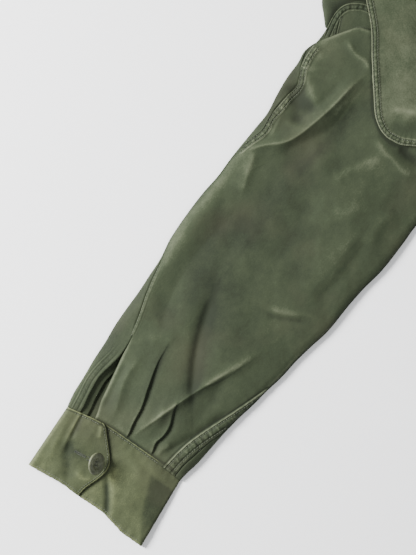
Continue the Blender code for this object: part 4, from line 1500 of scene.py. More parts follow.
    def build(self, use: Finishes) -> None:
        """Make the sleeve's pieces.

        Args:
            use: The materials.
        """
        name = self.side.value
        rows = [self.row(band.path, share * band.width) for band in (REAR_BAND, INSEAM_BAND)
                for share in (0.20, 0.83)]
        rows.append(self.row(REAR_LOW_BAND.path, 1.4))
        stitches = stitch_piece(f"{name}_sleeve_stitches", rows, use.thread, self.side)
        grid, s, t = self.top_grid()
        seams = seam_field((REAR_BAND, INSEAM_BAND), s, t)
        tone = self.top_tone(grid, s, t)
        top = cloth_piece(f"{name}_topsleeve_cloth", grid, tone, use.cloth, WALL, self.side, seams)
        declare_sheet([f"{name}_topsleeve"])
        under = self.under_grid()
        s, t = to_sleeve(under[..., 0], under[..., 1])
        field = seam_field((self.slit_band(),), s, t)
        raised = under[..., 2] > 3.2
        field = field._replace(weight=0.55 * field.weight * raised * smoothstep((150.0 - t) / 30.0))
        # Painted shade and light from relief and painted streaks, and a paler line along the rear outline.
        tone = relief_wear_and_shade(under, 0.36, 0.10) + 0.08 * bell(s - self.form.rear(t), 2.5)
        tone = tone + painted_shading_tone(self.form.painted_streaks, s, t)
        piece = cloth_piece(f"{name}_undersleeve_cloth", under, tone, use.cloth, WALL, self.side, field)
        declare_sheet([f"{name}_undersleeve"])
        lap = self.underlap_grid()
        # Painted shade in hollows and paler crests from relief.
        tone = relief_wear_and_shade(lap, 0.46, 0.1)
        piece = cloth_piece(f"{name}_slit_underlap", lap, tone, use.cloth, WALL, self.side)
        declare_sheet([])
        head = self.head_grid()
        field = seam_field(HEAD_BANDS, *to_sleeve(head[..., 0], head[..., 1]))
        # Painted shade under the topsleeve's folded edge and in a thin line along the outer edge, with
        # painted shade and light from relief.
        edge = np.linspace(1.0, 0.0, head.shape[1])[None, :]
        tone = relief_wear_and_shade(head, 0.38, 0.22, 8) - 0.16 * bell(edge, 0.03) - 0.12 * smoothstep(edge - 0.5)
        piece = cloth_piece(f"{name}_sleeve_head", head, tone, use.cloth, WALL, self.side, field)
        declare_sheet([])

    def top_tone(self, grid: Array, s: Array, t: Array) -> Array:
        """Tone of the topsleeve: painted shade and light from its relief, paler edges, painted streaks and
        painted pleat shadows, and the cuff's painted shadow.

        Args:
            grid: The panel's places.
            s: The s of each.
            t: The t of each.

        Returns:
            One tone for each place.
        """
        form = self.form
        from_rear, from_inseam = s - form.rear(t), form.inseam(t) - s
        # Painted shade and light from relief, broad and fine.
        tone = relief_wear_and_shade(grid, 0.40, 0.27) + 0.32 * relief_wear_and_shade(grid, 0.0, 1.0, 3)
        # A paler rim along the slit's edge, painted highlight and fading both, and a paler line along the
        # inseam.
        rim = bell(from_rear - form.top_rear(t), 2.0) * smoothstep((380.0 - t) / 20.0)
        lightened = bell(from_inseam, 1.8, 2.5) * smoothstep((285.0 - t) / 60.0)
        # Painted light across the rear side, which faces the lamp, a little paler near the cuff, and the
        # paler rims.
        tone = tone + 0.10 * bell(from_rear, 26.0) + 0.05 * bell(t, 40.0, 78.0) + 0.16 * rim + 0.24 * lightened
        # Painted streaks of shade and light, and painted shadows and highlights at the pleats.
        tone = tone + painted_shading_tone(form.painted_streaks, s, t) + painted_pleat_shading(SLEEVE_PLEATS, s, t)
        # Painted shadow of the cuff's top edge on the sleeve.
        return tone - 0.30 * bell(t - cuff_edge(s, "top"), 1.6, 0.4)


def floor_armhole(count: int) -> Array:
    """The under layer's armhole seam, from the rear outline to the armpit."""
    head = np.array([(-320.0, -19.0), (-296.0, -9.0), (-275.0, -9.0), (-262.0, -25.0)])
    return even_path(np.vstack([head, armhole_curve(9)[::-1]]), count)


# ---------------------------------------------------------------- cuff


# The cuff's edges: s, the t of its hem and of its top
CUFF_SECTIONS = (
    (-75.0, -4.2, 65.6), (-60.0, -2.4, 69.5), (-34.0, 1.3, 75.0), (-10.0, 1.8, 76.8),
    (18.0, 3.3, 77.9), (43.0, -0.8, 79.0), (68.0, -0.2, 78.0),
)
CUFF_EDGES = dict(zip(("hem", "top"), smooth_columns(CUFF_SECTIONS)))


def cuff_edge(s: Array, name: str) -> Array:
    """The t of the cuff's hem or top edge at a place across it."""
    return CUFF_EDGES[name](s)


def up_cuff(s: Array, shares: Array) -> Array:
    """The t of places at shares of the cuff's height."""
    return cuff_edge(s, "hem") + (cuff_edge(s, "top") - cuff_edge(s, "hem")) * shares


# The cuff's pointed end: share of the cuff's height, and the s where the end stops
TAB_SECTIONS = (
    (0.0, -12.7), (0.15, -11.3), (0.30, -7.6), (0.40, -5.6), (0.50, -5.2), (0.57, -6.2),
    (0.66, -10.6), (0.78, -19.0), (0.90, -27.6), (0.96, -31.6), (1.0, -35.6),
)

TAB_END, = smooth_columns(TAB_SECTIONS)

CUFF_FOLDS = (
    Fold(((-58, 80), (-57.5, 66), (-55, 52), (-52, 40)), 2.2, 4.0, -1.7, 1.4),
    Fold(((-61, 76), (-60, 64), (-57, 46), (-52, 24)), 3.0, 2.4, 1.3, 1.4),
    Fold(((-54, 44), (-48.5, 30), (-38, 18), (-30, 5)), 6.0, 6.0, -1.7),
    Fold(((-68, 60), (-64, 36), (-58, 8)), 4.0, 4.0, 0.7),
    Fold(((-42, 74), (-40, 60), (-38, 48)), 4.0, 6.0, 0.6),
    Fold(((-38, 72), (-34, 67), (-30, 59)), 3.0, 3.0, 1.1, 1.5),
    Fold(((-52, 33), (-44, 34), (-34, 37)), 4.0, 4.0, -0.8),
    Fold(((-30, 19), (-18, 19), (-11, 24)), 4.0, 4.0, 1.1, 1.5),
    Fold(((22, 2), (19, 8), (12, 18), (5, 27), (-4, 38)), 5.0, 2.4, -2.0, 1.3),
    Fold(((27, 2), (24, 10), (17, 20), (8, 32)), 3.0, 7.0, 0.7),
    Fold(((20, 70), (24, 44), (30, 14)), 13.0, 14.0, 0.9),
    Fold(((40, 74), (44, 50), (52, 20)), 8.0, 10.0, -0.5),
    Fold(((-6, 68), (10, 62), (28, 60)), 5.0, 6.0, 0.5),
)

# Painted shade in the cuff's creases and painted light on its ridges and beside the tab.
CUFF_PAINTED_SHADING = (
    PaintedShading(((-54, 46), (-48, 30), (-37, 18), (-30, 5)), 7.0, -0.17),
    PaintedShading(((-57, 72), (-56, 62), (-53, 50)), 2.6, -0.30),
    PaintedShading(((-60.5, 74), (-59.5, 62), (-56, 46)), 2.4, 0.20),
    PaintedShading(((-52, 33), (-42, 35), (-30, 37)), 5.0, -0.14),
    PaintedShading(((-38, 72), (-34, 67), (-30, 60)), 2.6, 0.22),
    PaintedShading(((-28, 19), (-18, 19), (-11, 24)), 3.6, 0.14),
    PaintedShading(((21, 2), (18.5, 8), (11, 18), (4, 26), (0, 31)), 3.2, -0.40),
    PaintedShading(((4, 70), (20, 67), (44, 66)), 4.0, 0.07),
    PaintedShading(((4, 12), (16, 40), (24, 60)), 16.0, 0.11),
    PaintedShading(((0, 48), (2, 39), (5, 32)), 5.0, 0.22),
)


@dataclass
class Cuff:
    """The cuff band: one strip wound once round, whose pointed end laps over and buttons."""

    side: Side
    under_end: float = -46.0
    under_top: float = 5.8
    tab_gap: float = 0.7
    rear_hem: float = -71.0
    rear_top: float = -75.2
    inseam_hem: float = 68.2
    inseam_top: float = 58.8
    rows: int = 84
    tab_columns: int = 52
    edge_round: float = 4.0
    edge_stitch: float = 2.6
    hem_stitch: float = 3.0

    @property
    def tab_top(self) -> float:
        """Height of the pointed end's upper face."""
        return self.under_top + self.tab_gap + CUFF_WALL + 0.3

    def bands(self) -> tuple[Array, Array, Array, Array]:
        """Shares of the cuff's height, and the s of its rear edge, inseam edge and pointed end.

        Returns:
            The four arrays, one value for each row.
        """
        shares = 0.5 - 0.5 * np.cos(np.linspace(0.0, math.pi, self.rows))
        shares = 0.5 * shares + 0.5 * np.linspace(0.0, 1.0, self.rows)
        ends = TAB_END(shares)
        rear = self.rear_hem + (self.rear_top - self.rear_hem) * shares
        inseam = self.inseam_hem + (self.inseam_top - self.inseam_hem) * shares
        return shares, rear, inseam, ends

    def relief(self, s: Array, t: Array) -> Array:
        """Folds, uneven waves, and the thin rolled edges and sewn grooves at hem and top.

        Args:
            s: Places across the sleeve.
            t: Places along it.

        Returns:
            Height above the level cloth in millimetres.
        """
        hem, top = t - cuff_edge(s, "hem"), cuff_edge(s, "top") - t
        folds = fold_relief(CUFF_FOLDS, s, t)
        waves = 0.35 * value_noise(s, t, 15.0, 22.0, 31) + 0.16 * value_noise(s, t, 6.0, 8.0, 32)
        rolled = -0.9 * bell(hem, 0.9) - 0.8 * bell(top, 0.8)
        grooves = -0.45 * bell(top, 0.7, self.edge_stitch) - 0.35 * bell(hem, 0.8, self.hem_stitch)
        ridge = 0.3 * bell(top, 0.9, 1.3)
        puckers = 0.14 * bell(top, 9.0) * np.sin(s / 1.35 + 0.8 * np.sin(s / 7.0))
        hem_puckers = 0.22 * bell(hem, 7.0) * np.sin(s / 1.9 + 1.1 * np.sin(s / 9.0))
        return folds + waves + rolled + grooves + ridge + puckers + hem_puckers

    def past_crease(self, s: Array, t: Array) -> Array:
        """How far a place lies past the soft diagonal where the cuff turns down to the inseam edge."""
        return (s - 30.5) * 0.856 + (t - 66.2) * 0.517 + 4.0 + 2.5 * np.sin(t / 14.0)

    def upper_height(self, s: Array, t: Array, level: float) -> Array:
        """Height of an upper layer: level, with its relief, and falling off towards the inseam edge."""
        fall = 3.0 * smoothstep(self.past_crease(s, t) / 36.0)
        return level + self.relief(s, t) - np.minimum(fall, level - 2.6)

    def grid(self) -> Array:
        """Grid of the strip: under end, inseam edge, bottom, rear edge and pointed end.

        Returns:
            Places, columns round the cuff by rows from hem to top.
        """
        shares, rear, inseam, ends = self.bands()
        inner_rear, inner_inseam = rear + self.edge_round, inseam - self.edge_round
        quarter = np.radians(75.0)
        parts = []

        def add(s: Array, height: Array | None = None, level: float = 0.0) -> None:
            """Add a column, whose hem is a little uneven, at a height or as an upper layer.

            Args:
                s: Its places across the sleeve.
                height: Its height, if it isn't an upper layer.
                level: The upper layer's level.
            """
            fray = 0.35 * value_noise(s, 0.0 * s, 2.3, 1.0, 33) * (1.0 - shares) ** 6
            t = up_cuff(s, shares) + fray
            z = self.upper_height(s, t, level) if height is None else height
            parts.append(place_on_arm(s, t, z))

        for k in np.linspace(0.0, 1.0, 74):
            add(self.under_end + k * (inner_inseam - self.under_end), level=self.under_top)
        top = self.upper_height(inner_inseam, up_cuff(inseam, shares), self.under_top)
        for angle in np.linspace(quarter, -quarter, 9):
            add(inseam - self.edge_round * (1.0 - math.cos(angle)), 0.5 * top * (1.0 + math.sin(angle)))
        for k in np.linspace(0.0, 1.0, 22):
            add(inner_inseam + k * (inner_rear - inner_inseam), np.zeros_like(shares))
        top = self.upper_height(inner_rear, up_cuff(inner_rear, shares), self.tab_top)
        for angle in np.linspace(-quarter, quarter, 9):
            add(rear + self.edge_round * (1.0 - math.cos(angle)), 0.5 * top * (1.0 + math.sin(angle)))
        for k in np.linspace(0.0, 1.0, self.tab_columns) ** 0.9:
            s = inner_rear + k * (ends - inner_rear)
            left = ends - s
            curl = 0.82 + 0.18 * quarter_round(left / 1.3)
            groove = 0.4 * bell(left, 0.7, self.edge_stitch)
            add(s, self.upper_height(s, up_cuff(s, shares), self.tab_top) * curl - groove)
        return np.array(parts)

    def surface(self, s: Array, t: Array, on_tab: bool) -> Array:
        """Height of an upper layer at any place, for what is sewn on it."""
        return self.upper_height(s, t, self.tab_top if on_tab else self.under_top)

    def stitch_rows(self) -> list[StitchRow]:
        """Rows along the pointed end, the top edge and the hem.

        Returns:
            The rows.
        """
        shares = np.linspace(0.03, 0.97, 90)
        s = TAB_END(shares) - self.edge_stitch
        rows = [self.on_surface(s, up_cuff(s, shares), True)]
        stretches = (("top", True, (-66.0, -37.0)), ("top", False, (-30.0, 56.0)),
                     ("hem", True, (-64.0, -15.0)), ("hem", False, (-10.0, 62.0)))
        for name, on_tab, stretch in stretches:
            s = np.linspace(*stretch, 80)
            inward = self.hem_stitch if name == "hem" else -self.edge_stitch
            rows.append(self.on_surface(s, cuff_edge(s, name) + inward, on_tab))
        return rows

    def on_surface(self, s: Array, t: Array, on_tab: bool) -> StitchRow:
        """A row of stitches through places on the cuff."""
        return StitchRow(place_on_arm(s, t, self.surface(s, t, on_tab)), pitch=2.8, length=2.1)

    def buttonhole(self) -> list[StitchRow]:
        """The keyhole's purl: short stitches side by side round a slit with a round eye.

        Returns:
            The rows of its stitches.
        """
        slit_from, slit_to, eye = np.array([-42.0, 35.2]), np.array([-29.5, 37.2]), 1.7
        length = np.linalg.norm(slit_to - slit_from)
        direction = (slit_to - slit_from) / length
        normal = np.array([-direction[1], direction[0]])
        at = np.linspace(0.0, length, 30)[:, None]
        turn = np.linspace(0.72 * math.pi, -0.72 * math.pi, 26)[:, None]
        lines = [slit_from + at * direction + offset * normal for offset in (-0.75, 0.75)]
        centre = slit_to + (eye + 0.6) * direction
        lines.append(centre + eye * (np.cos(turn) * direction + np.sin(turn) * normal))
        lines.append(slit_from + np.linspace(-1.1, 1.1, 8)[:, None] * normal)
        return [StitchRow(place_on_arm(s, t, self.surface(s, t, True)), pitch=0.62, length=0.85, width=0.8,
                          rise=0.16) for s, t in (line.T for line in lines)]

    def build(self, use: Finishes) -> None:
        """Make the cuff's pieces.

        Args:
            use: The materials.
        """
        name = self.side.value
        stitches = stitch_piece(f"{name}_cuff_stitches", self.stitch_rows(), use.thread, self.side)
        purl = stitch_piece(f"{name}_cuff_buttonhole", self.buttonhole(), use.hole_thread, self.side)
        grid = self.grid()
        s, t = to_sleeve(grid[..., 0], grid[..., 1])
        shares, _, _, ends = self.bands()
        shares = np.broadcast_to(shares, s.shape)
        past = self.past_crease(s, t)
        upper = smoothstep((grid[..., 2] - 2.8) / 1.2)
        # Painted shade and light from relief, and paler towards the hem.
        tone = relief_wear_and_shade(grid, 0.38, 0.26, 10) + 0.13 * smoothstep((62.0 - t) / 60.0)
        # Painted shade past the diagonal where the cuff turns down to the inseam edge, and painted streaks of
        # shade and light on the upper layers.
        shade = smoothstep((past + 1.0) / 5.0) * smoothstep((64.5 - t) / 4.0) * 0.23
        tone = tone - shade - 0.06 * smoothstep(past / 8.0) + painted_shading_tone(CUFF_PAINTED_SHADING, s, t) * upper
        from_top = (1.0 - shares) * 76.0
        # A painted highlight on the rolled top edge, painted shade in the stitch groove below it, and a paler
        # line at the hem.
        tone = tone + 0.42 * bell(from_top, 1.0) - 0.20 * bell(from_top, 0.8, 2.7) + 0.14 * bell(shares, 0.03)
        tone = tone - 0.09 * smoothstep((-6.0 - s) / 8.0) * smoothstep((s + 58.0) / 12.0)
        on_tab = np.arange(len(grid)) >= len(grid) - self.tab_columns
        # A painted highlight, with fading, along the tab's rolled edge.
        rim = bell(ends - s, 1.2) * on_tab[:, None]
        # Painted contact shadow on the under layer beside the tab's edge.
        beside = np.maximum(s - ends, 0.0)
        tone = tone - 0.34 * bell(beside, 1.7) * (beside > 0.0) * ~on_tab[:, None] * upper
        # The seam profile paints groove shade and rim highlights along the top edge and the tab's edge.
        from_end = np.where(on_tab[:, None] & (ends - s < 4.5), ends - s, 1.0e3)
        inward = np.minimum(cuff_edge(s, "top") - t, from_end)
        across = np.minimum(inward / 7.0, np.where(from_end < 1.0e3, 0.5, 1.5))
        field = SeamField(across, 0.0 * s, 0.9 - 0.9 * smoothstep((across - 0.3) / 0.2))
        tone = tone + 0.5 * rim
        piece = cloth_piece(f"{name}_cuff_cloth", grid, tone, use.cuff_cloth, CUFF_WALL, self.side, field)
        declare_sheet([f"{name}_cuff"])


# ---------------------------------------------------------------- body


def shoulder_y(x: Array) -> Array:
    """Height up the body of the shoulder seam."""
    return NECK_POINT[1] - SHOULDER_SLOPE * (np.abs(x) - abs(NECK_POINT[0]))


def side_seam(y: Array) -> Array:
    """The x of the right side seam: straight from the hem to the armpit."""
    return np.interp(y, (HEM_Y, ARMPIT[1]), (-HALF_HEM, ARMPIT[0]))


def shoulder_line(from_x: float, to_x: float, count: int) -> Array:
    """Places along the shoulder seam."""
    x = np.linspace(from_x, to_x, count)
    return np.column_stack([x, shoulder_y(x)])


def panel_side(side_count: int, head: tuple[float, float], end_x: float, count: int) -> Array:
    """A body panel's outer edge: side seam, armhole seam, and on to the shoulder seam.

    Args:
        side_count: Points along the side seam.
        head: A place between armhole and shoulder.
        end_x: Where the shoulder seam ends.
        count: How many points to return.

    Returns:
        Evenly spaced places from the hem up.
    """
    side_y = np.linspace(HEM_Y, ARMPIT[1], side_count)[:-1]
    side = np.column_stack([side_seam(side_y), side_y])
    return even_path(np.vstack([side, armhole_curve(20), [head, (end_x, float(shoulder_y(end_x)))]]), count)


def hem_line(from_x: float, to_x: float, count: int) -> Array:
    """Places along the hem."""
    return np.column_stack([np.linspace(from_x, to_x, count), np.full(count, HEM_Y)])


BODY_FOLDS = (
    Fold(((-60, -700), (-90, -520), (-120, -380), (-170, -260)), 26.0, 30.0, 2.0),
    Fold(((-180, -720), (-200, -560), (-190, -400)), 22.0, 26.0, 1.6),
    Fold(((-250, -250), (-200, -300), (-130, -330)), 16.0, 18.0, 1.8),
    Fold(((-262, -300), (-220, -380), (-160, -430)), 14.0, 20.0, 1.2),
    Fold(((-40, -260), (-60, -400), (-50, -560)), 20.0, 24.0, -1.4),
    Fold(((-230, -120), (-180, -170), (-120, -190)), 16.0, 16.0, 1.2),
)


@dataclass
class Fronts:
    """The two fronts: they lie on the back, and the left one laps over the right one."""

    columns: int = 126
    rows: int = 180
    hem_depth: float = 24.0
    edge_stitch: float = 7.0
    shoulder_x: float = -262.0

    def top(self, x: Array, y: Array, seed: int) -> Array:
        """Height of a front's upper face on the wearer's right, where x is less than nothing.

        Args:
            x: Places across the body, not more than nothing.
            y: Places along it.
            seed: Which pattern of wrinkles.

        Returns:
            Height above the surface in millimetres.
        """
        seam = armhole_curve(17)
        edge_x = np.where(y < ARMPIT[1], side_seam(y), np.interp(y, seam[:, 1], seam[:, 0]))
        edge_z = np.where(y < ARMPIT[1], BODY_EDGE_TOP, armhole_top(y) + 0.6)
        inside = np.abs(x - edge_x)
        middle = BODY_TOP + 1.2 * np.sin(x / 57.0 + 0.6) * np.sin(y / 93.0) + fold_relief(BODY_FOLDS, x, y)
        middle = (middle + 0.5 * value_noise(x, y, 60.0, 80.0, seed)
                  + 0.2 * value_noise(x, y, 20.0, 26.0, seed + 1))
        middle = BODY_EDGE_TOP + (middle - BODY_EDGE_TOP) * smoothstep((y - HEM_Y) / 40.0)
        middle = BODY_EDGE_TOP + (middle - BODY_EDGE_TOP) * smoothstep((shoulder_y(x) - y) / 35.0 + 0.2)
        hem = y - HEM_Y
        hem_band = 0.5 * smoothstep((self.hem_depth + 2.0 - hem) / 1.5) - 0.4 * bell(hem, 0.9, self.hem_depth)
        height = edge_z + (middle - edge_z) * smoothstep(inside / 45.0) + hem_band
        return height + 0.15 * value_noise(x, y, 8.0, 8.0, seed + 2) * smoothstep(inside / 20.0)

    def flat(self) -> Array:
        """The right front's panel in the plane: a patch blended between its four edges.

        Returns:
            Places in x and y.
        """
        outer = panel_side(40, (-256.0, -30.0), self.shoulder_x, self.rows)
        centre = np.column_stack([np.full(self.rows, FRONT_LAP), np.linspace(HEM_Y, FRONT_NECK_Y, self.rows)])
        neck = smooth_curve(((FRONT_LAP, FRONT_NECK_Y), (0.0, -76.0), (-42.0, -48.0), (-68.0, 0.0),
                             NECK_POINT), 60)
        shoulder = shoulder_line(NECK_POINT[0], self.shoulder_x, 60)[1:]
        top = even_path(np.vstack([neck, shoulder]), self.columns)
        return blended_patch(hem_line(FRONT_LAP, -HALF_HEM, self.columns), top, centre, outer)

    def lapped_top(self, x: Array, y: Array, lift: float, seed: int) -> Array:
        """Height of a front's upper face, raised by lift where the fronts lap."""
        return self.top(-np.abs(x), y, seed) + lift * smoothstep((x + 62.0) / 34.0)

    def grid(self, lift: float, seed: int) -> Array:
        """Grid of a front, with a thin rolled front edge.

        Args:
            lift: How much the lap is raised.
            seed: Which pattern of wrinkles.

        Returns:
            Places on its upper face.
        """
        x, y = np.moveaxis(self.flat(), 2, 0)
        from_edge = FRONT_LAP - x
        z = (self.lapped_top(x, y, lift, seed) - 0.6 * bell(from_edge, 1.0)
             - 0.4 * bell(from_edge, 0.8, self.edge_stitch))
        return np.dstack([x, y, z])[::-1]

    def build(self, use: Finishes) -> None:
        """Make both fronts and their stitches.

        Args:
            use: The materials.
        """
        for side, lift, seed in ((Side.RIGHT, 0.0, RIGHT_FRONT_SEED), (Side.LEFT, LAP_LIFT, 71)):
            grid = self.grid(lift, seed)
            rows = [self.edge_row(lift, seed), self.hem_row(lift, seed)]
            stitches = stitch_piece(f"{side.value}_front_stitches", rows, use.thread, side)
            # Painted shade in hollows and paler crests from relief.
            tone = relief_wear_and_shade(grid, 0.50, 0.16)
            piece = cloth_piece(f"{side.value}_front_cloth", grid, tone, use.cloth, WALL, side)
            declare_sheet([f"{side.value}_front"])

    def edge_row(self, lift: float, seed: int) -> StitchRow:
        """The row along the front edge.

        Args:
            lift: How much the lap is raised.
            seed: The front's pattern of wrinkles.

        Returns:
            The row.
        """
        y = np.linspace(HEM_Y + 6.0, FRONT_NECK_Y - 4.0, 300)
        x = np.full_like(y, FRONT_LAP - self.edge_stitch)
        return StitchRow(np.column_stack([x, y, self.lapped_top(x, y, lift, seed) - 0.4]))

    def hem_row(self, lift: float, seed: int) -> StitchRow:
        """The row that holds the turned-up hem.

        Args:
            lift: How much the lap is raised.
            seed: The front's pattern of wrinkles.

        Returns:
            The row.
        """
        x = np.linspace(FRONT_LAP - 4.0, -HALF_HEM + 6.0, 260)
        y = np.full_like(x, HEM_Y + self.hem_depth)
        return StitchRow(np.column_stack([x, y, self.lapped_top(x, y, lift, seed)]))


def blended_patch(lower: Array, upper: Array, first: Array, last: Array, rises: Array | None = None) -> Array:
    """A Coons patch: the two ruled surfaces between opposite edges, less the one on the corners.

    Args:
        lower: The edge where the second axis starts.
        upper: The edge where it ends.
        first: The edge where the first axis starts.
        last: The edge where it ends.
        rises: The share of the way up at each row, if the rows aren't even.

    Returns:
        A grid of places, as many by as many as the edges have points.
    """
    across = length_shares(lower)[:, None, None]
    up = (np.linspace(0.0, 1.0, len(first)) if rises is None else rises)[None, :, None]
    ruled_up = (1 - up) * lower[:, None, :] + up * upper[:, None, :]
    ruled_across = (1 - across) * first[None, :, :] + across * last[None, :, :]
    corners = ((1 - across) * ((1 - up) * lower[0] + up * upper[0])
               + across * ((1 - up) * lower[-1] + up * upper[-1]))
    return ruled_up + ruled_across - corners


@dataclass
class Back:
    """The back: it lies on the surface, and its shoulder corner rolls up past the armhole seam."""

    rows: int = 90
    columns: int = 60
    shoulder_x: float = -264.0

    def grid(self) -> Array:
        """Grid of the back's outer face, which is its flat underside.

        Returns:
            Places, columns across by rows up.
        """
        outer = panel_side(30, (-258.0, -28.0), self.shoulder_x, self.rows)
        neck = smooth_curve((NECK_POINT, (-62.0, 44.5), (-30.0, 40.5), (0.0, 39.5)), 30)
        half_top = np.vstack([shoulder_line(self.shoulder_x, NECK_POINT[0], 30)[:-1], neck])
        top = even_path(np.vstack([half_top, half_top[-2::-1] * (-1.0, 1.0)]), self.columns)
        flat = blended_patch(hem_line(-HALF_HEM, HALF_HEM, self.columns), top, outer, outer * (-1.0, 1.0))
        return np.dstack([flat, np.zeros(flat.shape[:2])])[::-1]

    def corner_grid(self) -> Array:
        """Grid of the shoulder corner: a soft roll between the outline and the sleeve's head.

        Returns:
            Places, columns along the edge by rows outwards.
        """
        outer = smooth_curve(((-248.0, 18.8), (-262.0, 18.5), (-290.0, 13.5), (-311.0, 9.5), (-315.5, 4.0),
                              (-317.5, -6.0), (-320.5, -19.0)), 66)
        inner = smooth_curve(((-248.0, -38.0), (-262.0, -26.0), (-275.0, -14.0), (-288.0, -14.0),
                              (-298.0, -16.0), (-308.0, -20.0), (-318.5, -22.5)), 66)
        v = np.linspace(0.0, 1.0, 30)
        flat = ruled(inner, outer, v)
        x, y = flat[..., 0], flat[..., 1]
        low = smoothstep(v[None, :] / 0.55) * smoothstep((-254.0 - x) / 14.0)
        roll = quarter_round((1.0 - v[None, :]) / 0.35)
        return np.dstack([flat, 1.6 + (3.4 * low + 0.4 * value_noise(x, y, 14.0, 14.0, 9)) * roll])[::-1]

    def build(self, use: Finishes) -> None:
        """Make the back and its two shoulder corners.

        Args:
            use: The materials.
        """
        grid = self.grid()
        piece = cloth_piece("back_cloth", grid, np.full(grid.shape[:2], 0.45), use.cloth, WALL)
        declare_sheet(["back"])
        corner = self.corner_grid()
        outward = np.broadcast_to(np.linspace(0.0, 1.0, corner.shape[1]), corner.shape[:2])
        # Painted shade towards the inner edge under the sleeve's head, paler towards the outline.
        tone = 0.44 * smoothstep((outward - 0.2) / 0.6) - 0.18
        for side in Side:
            piece = cloth_piece(f"{side.value}_shoulder_corner", corner, tone, use.cloth, WALL, side)
            declare_sheet([])


FLAP_CORNER = (-300.6, -144.0)
FLAP_OUTER = (FLAP_CORNER, (-303.6, -136.0), (-304.6, -126.0), (-303.4, -116.0), (-298.4, -99.0),
              (-288.0, -65.0), (-278.3, -37.0), (-273.0, -8.0), (-268.0, 14.0))
FLAP_LOWER = (FLAP_CORNER, (-296.3, -149.2), (-289.8, -155.5), (-276.1, -162.4), (-210.0, -193.0),
              (-140.0, -222.0), (-80.0, -240.0), (-30.0, -248.0))
FLAP_INNER = ((-30.0, -248.0), (-30.0, -150.0), (-33.0, -92.0), (-58.0, -30.0), (-92.0, 42.0))

FLAP_FOLDS = (
    Fold(((-286, -140), (-262, -128), (-228, -122)), 5.0, 7.0, 1.0),
    Fold(((-236, -20), (-246, -50), (-250, -86)), 10.0, 12.0, 1.1),
    Fold(((-200, -40), (-190, -110), (-200, -170)), 18.0, 20.0, 1.2),
    Fold(((-120, -40), (-130, -120), (-110, -200)), 18.0, 20.0, 1.0),
)


# Painted shade below a fold across the flap's lower corner, a painted highlight on that fold, and a darker
# streak inside the outer edge.
FLAP_PAINTED_SHADING = (
    PaintedShading(((-294, -132), (-283, -140), (-262, -150)), 9.0, -0.30),
    PaintedShading(((-288, -119), (-276, -124), (-262, -133)), 2.6, 0.20),
    PaintedShading(((-268, -30), (-275, -48), (-284, -62)), 6.0, -0.14),
)


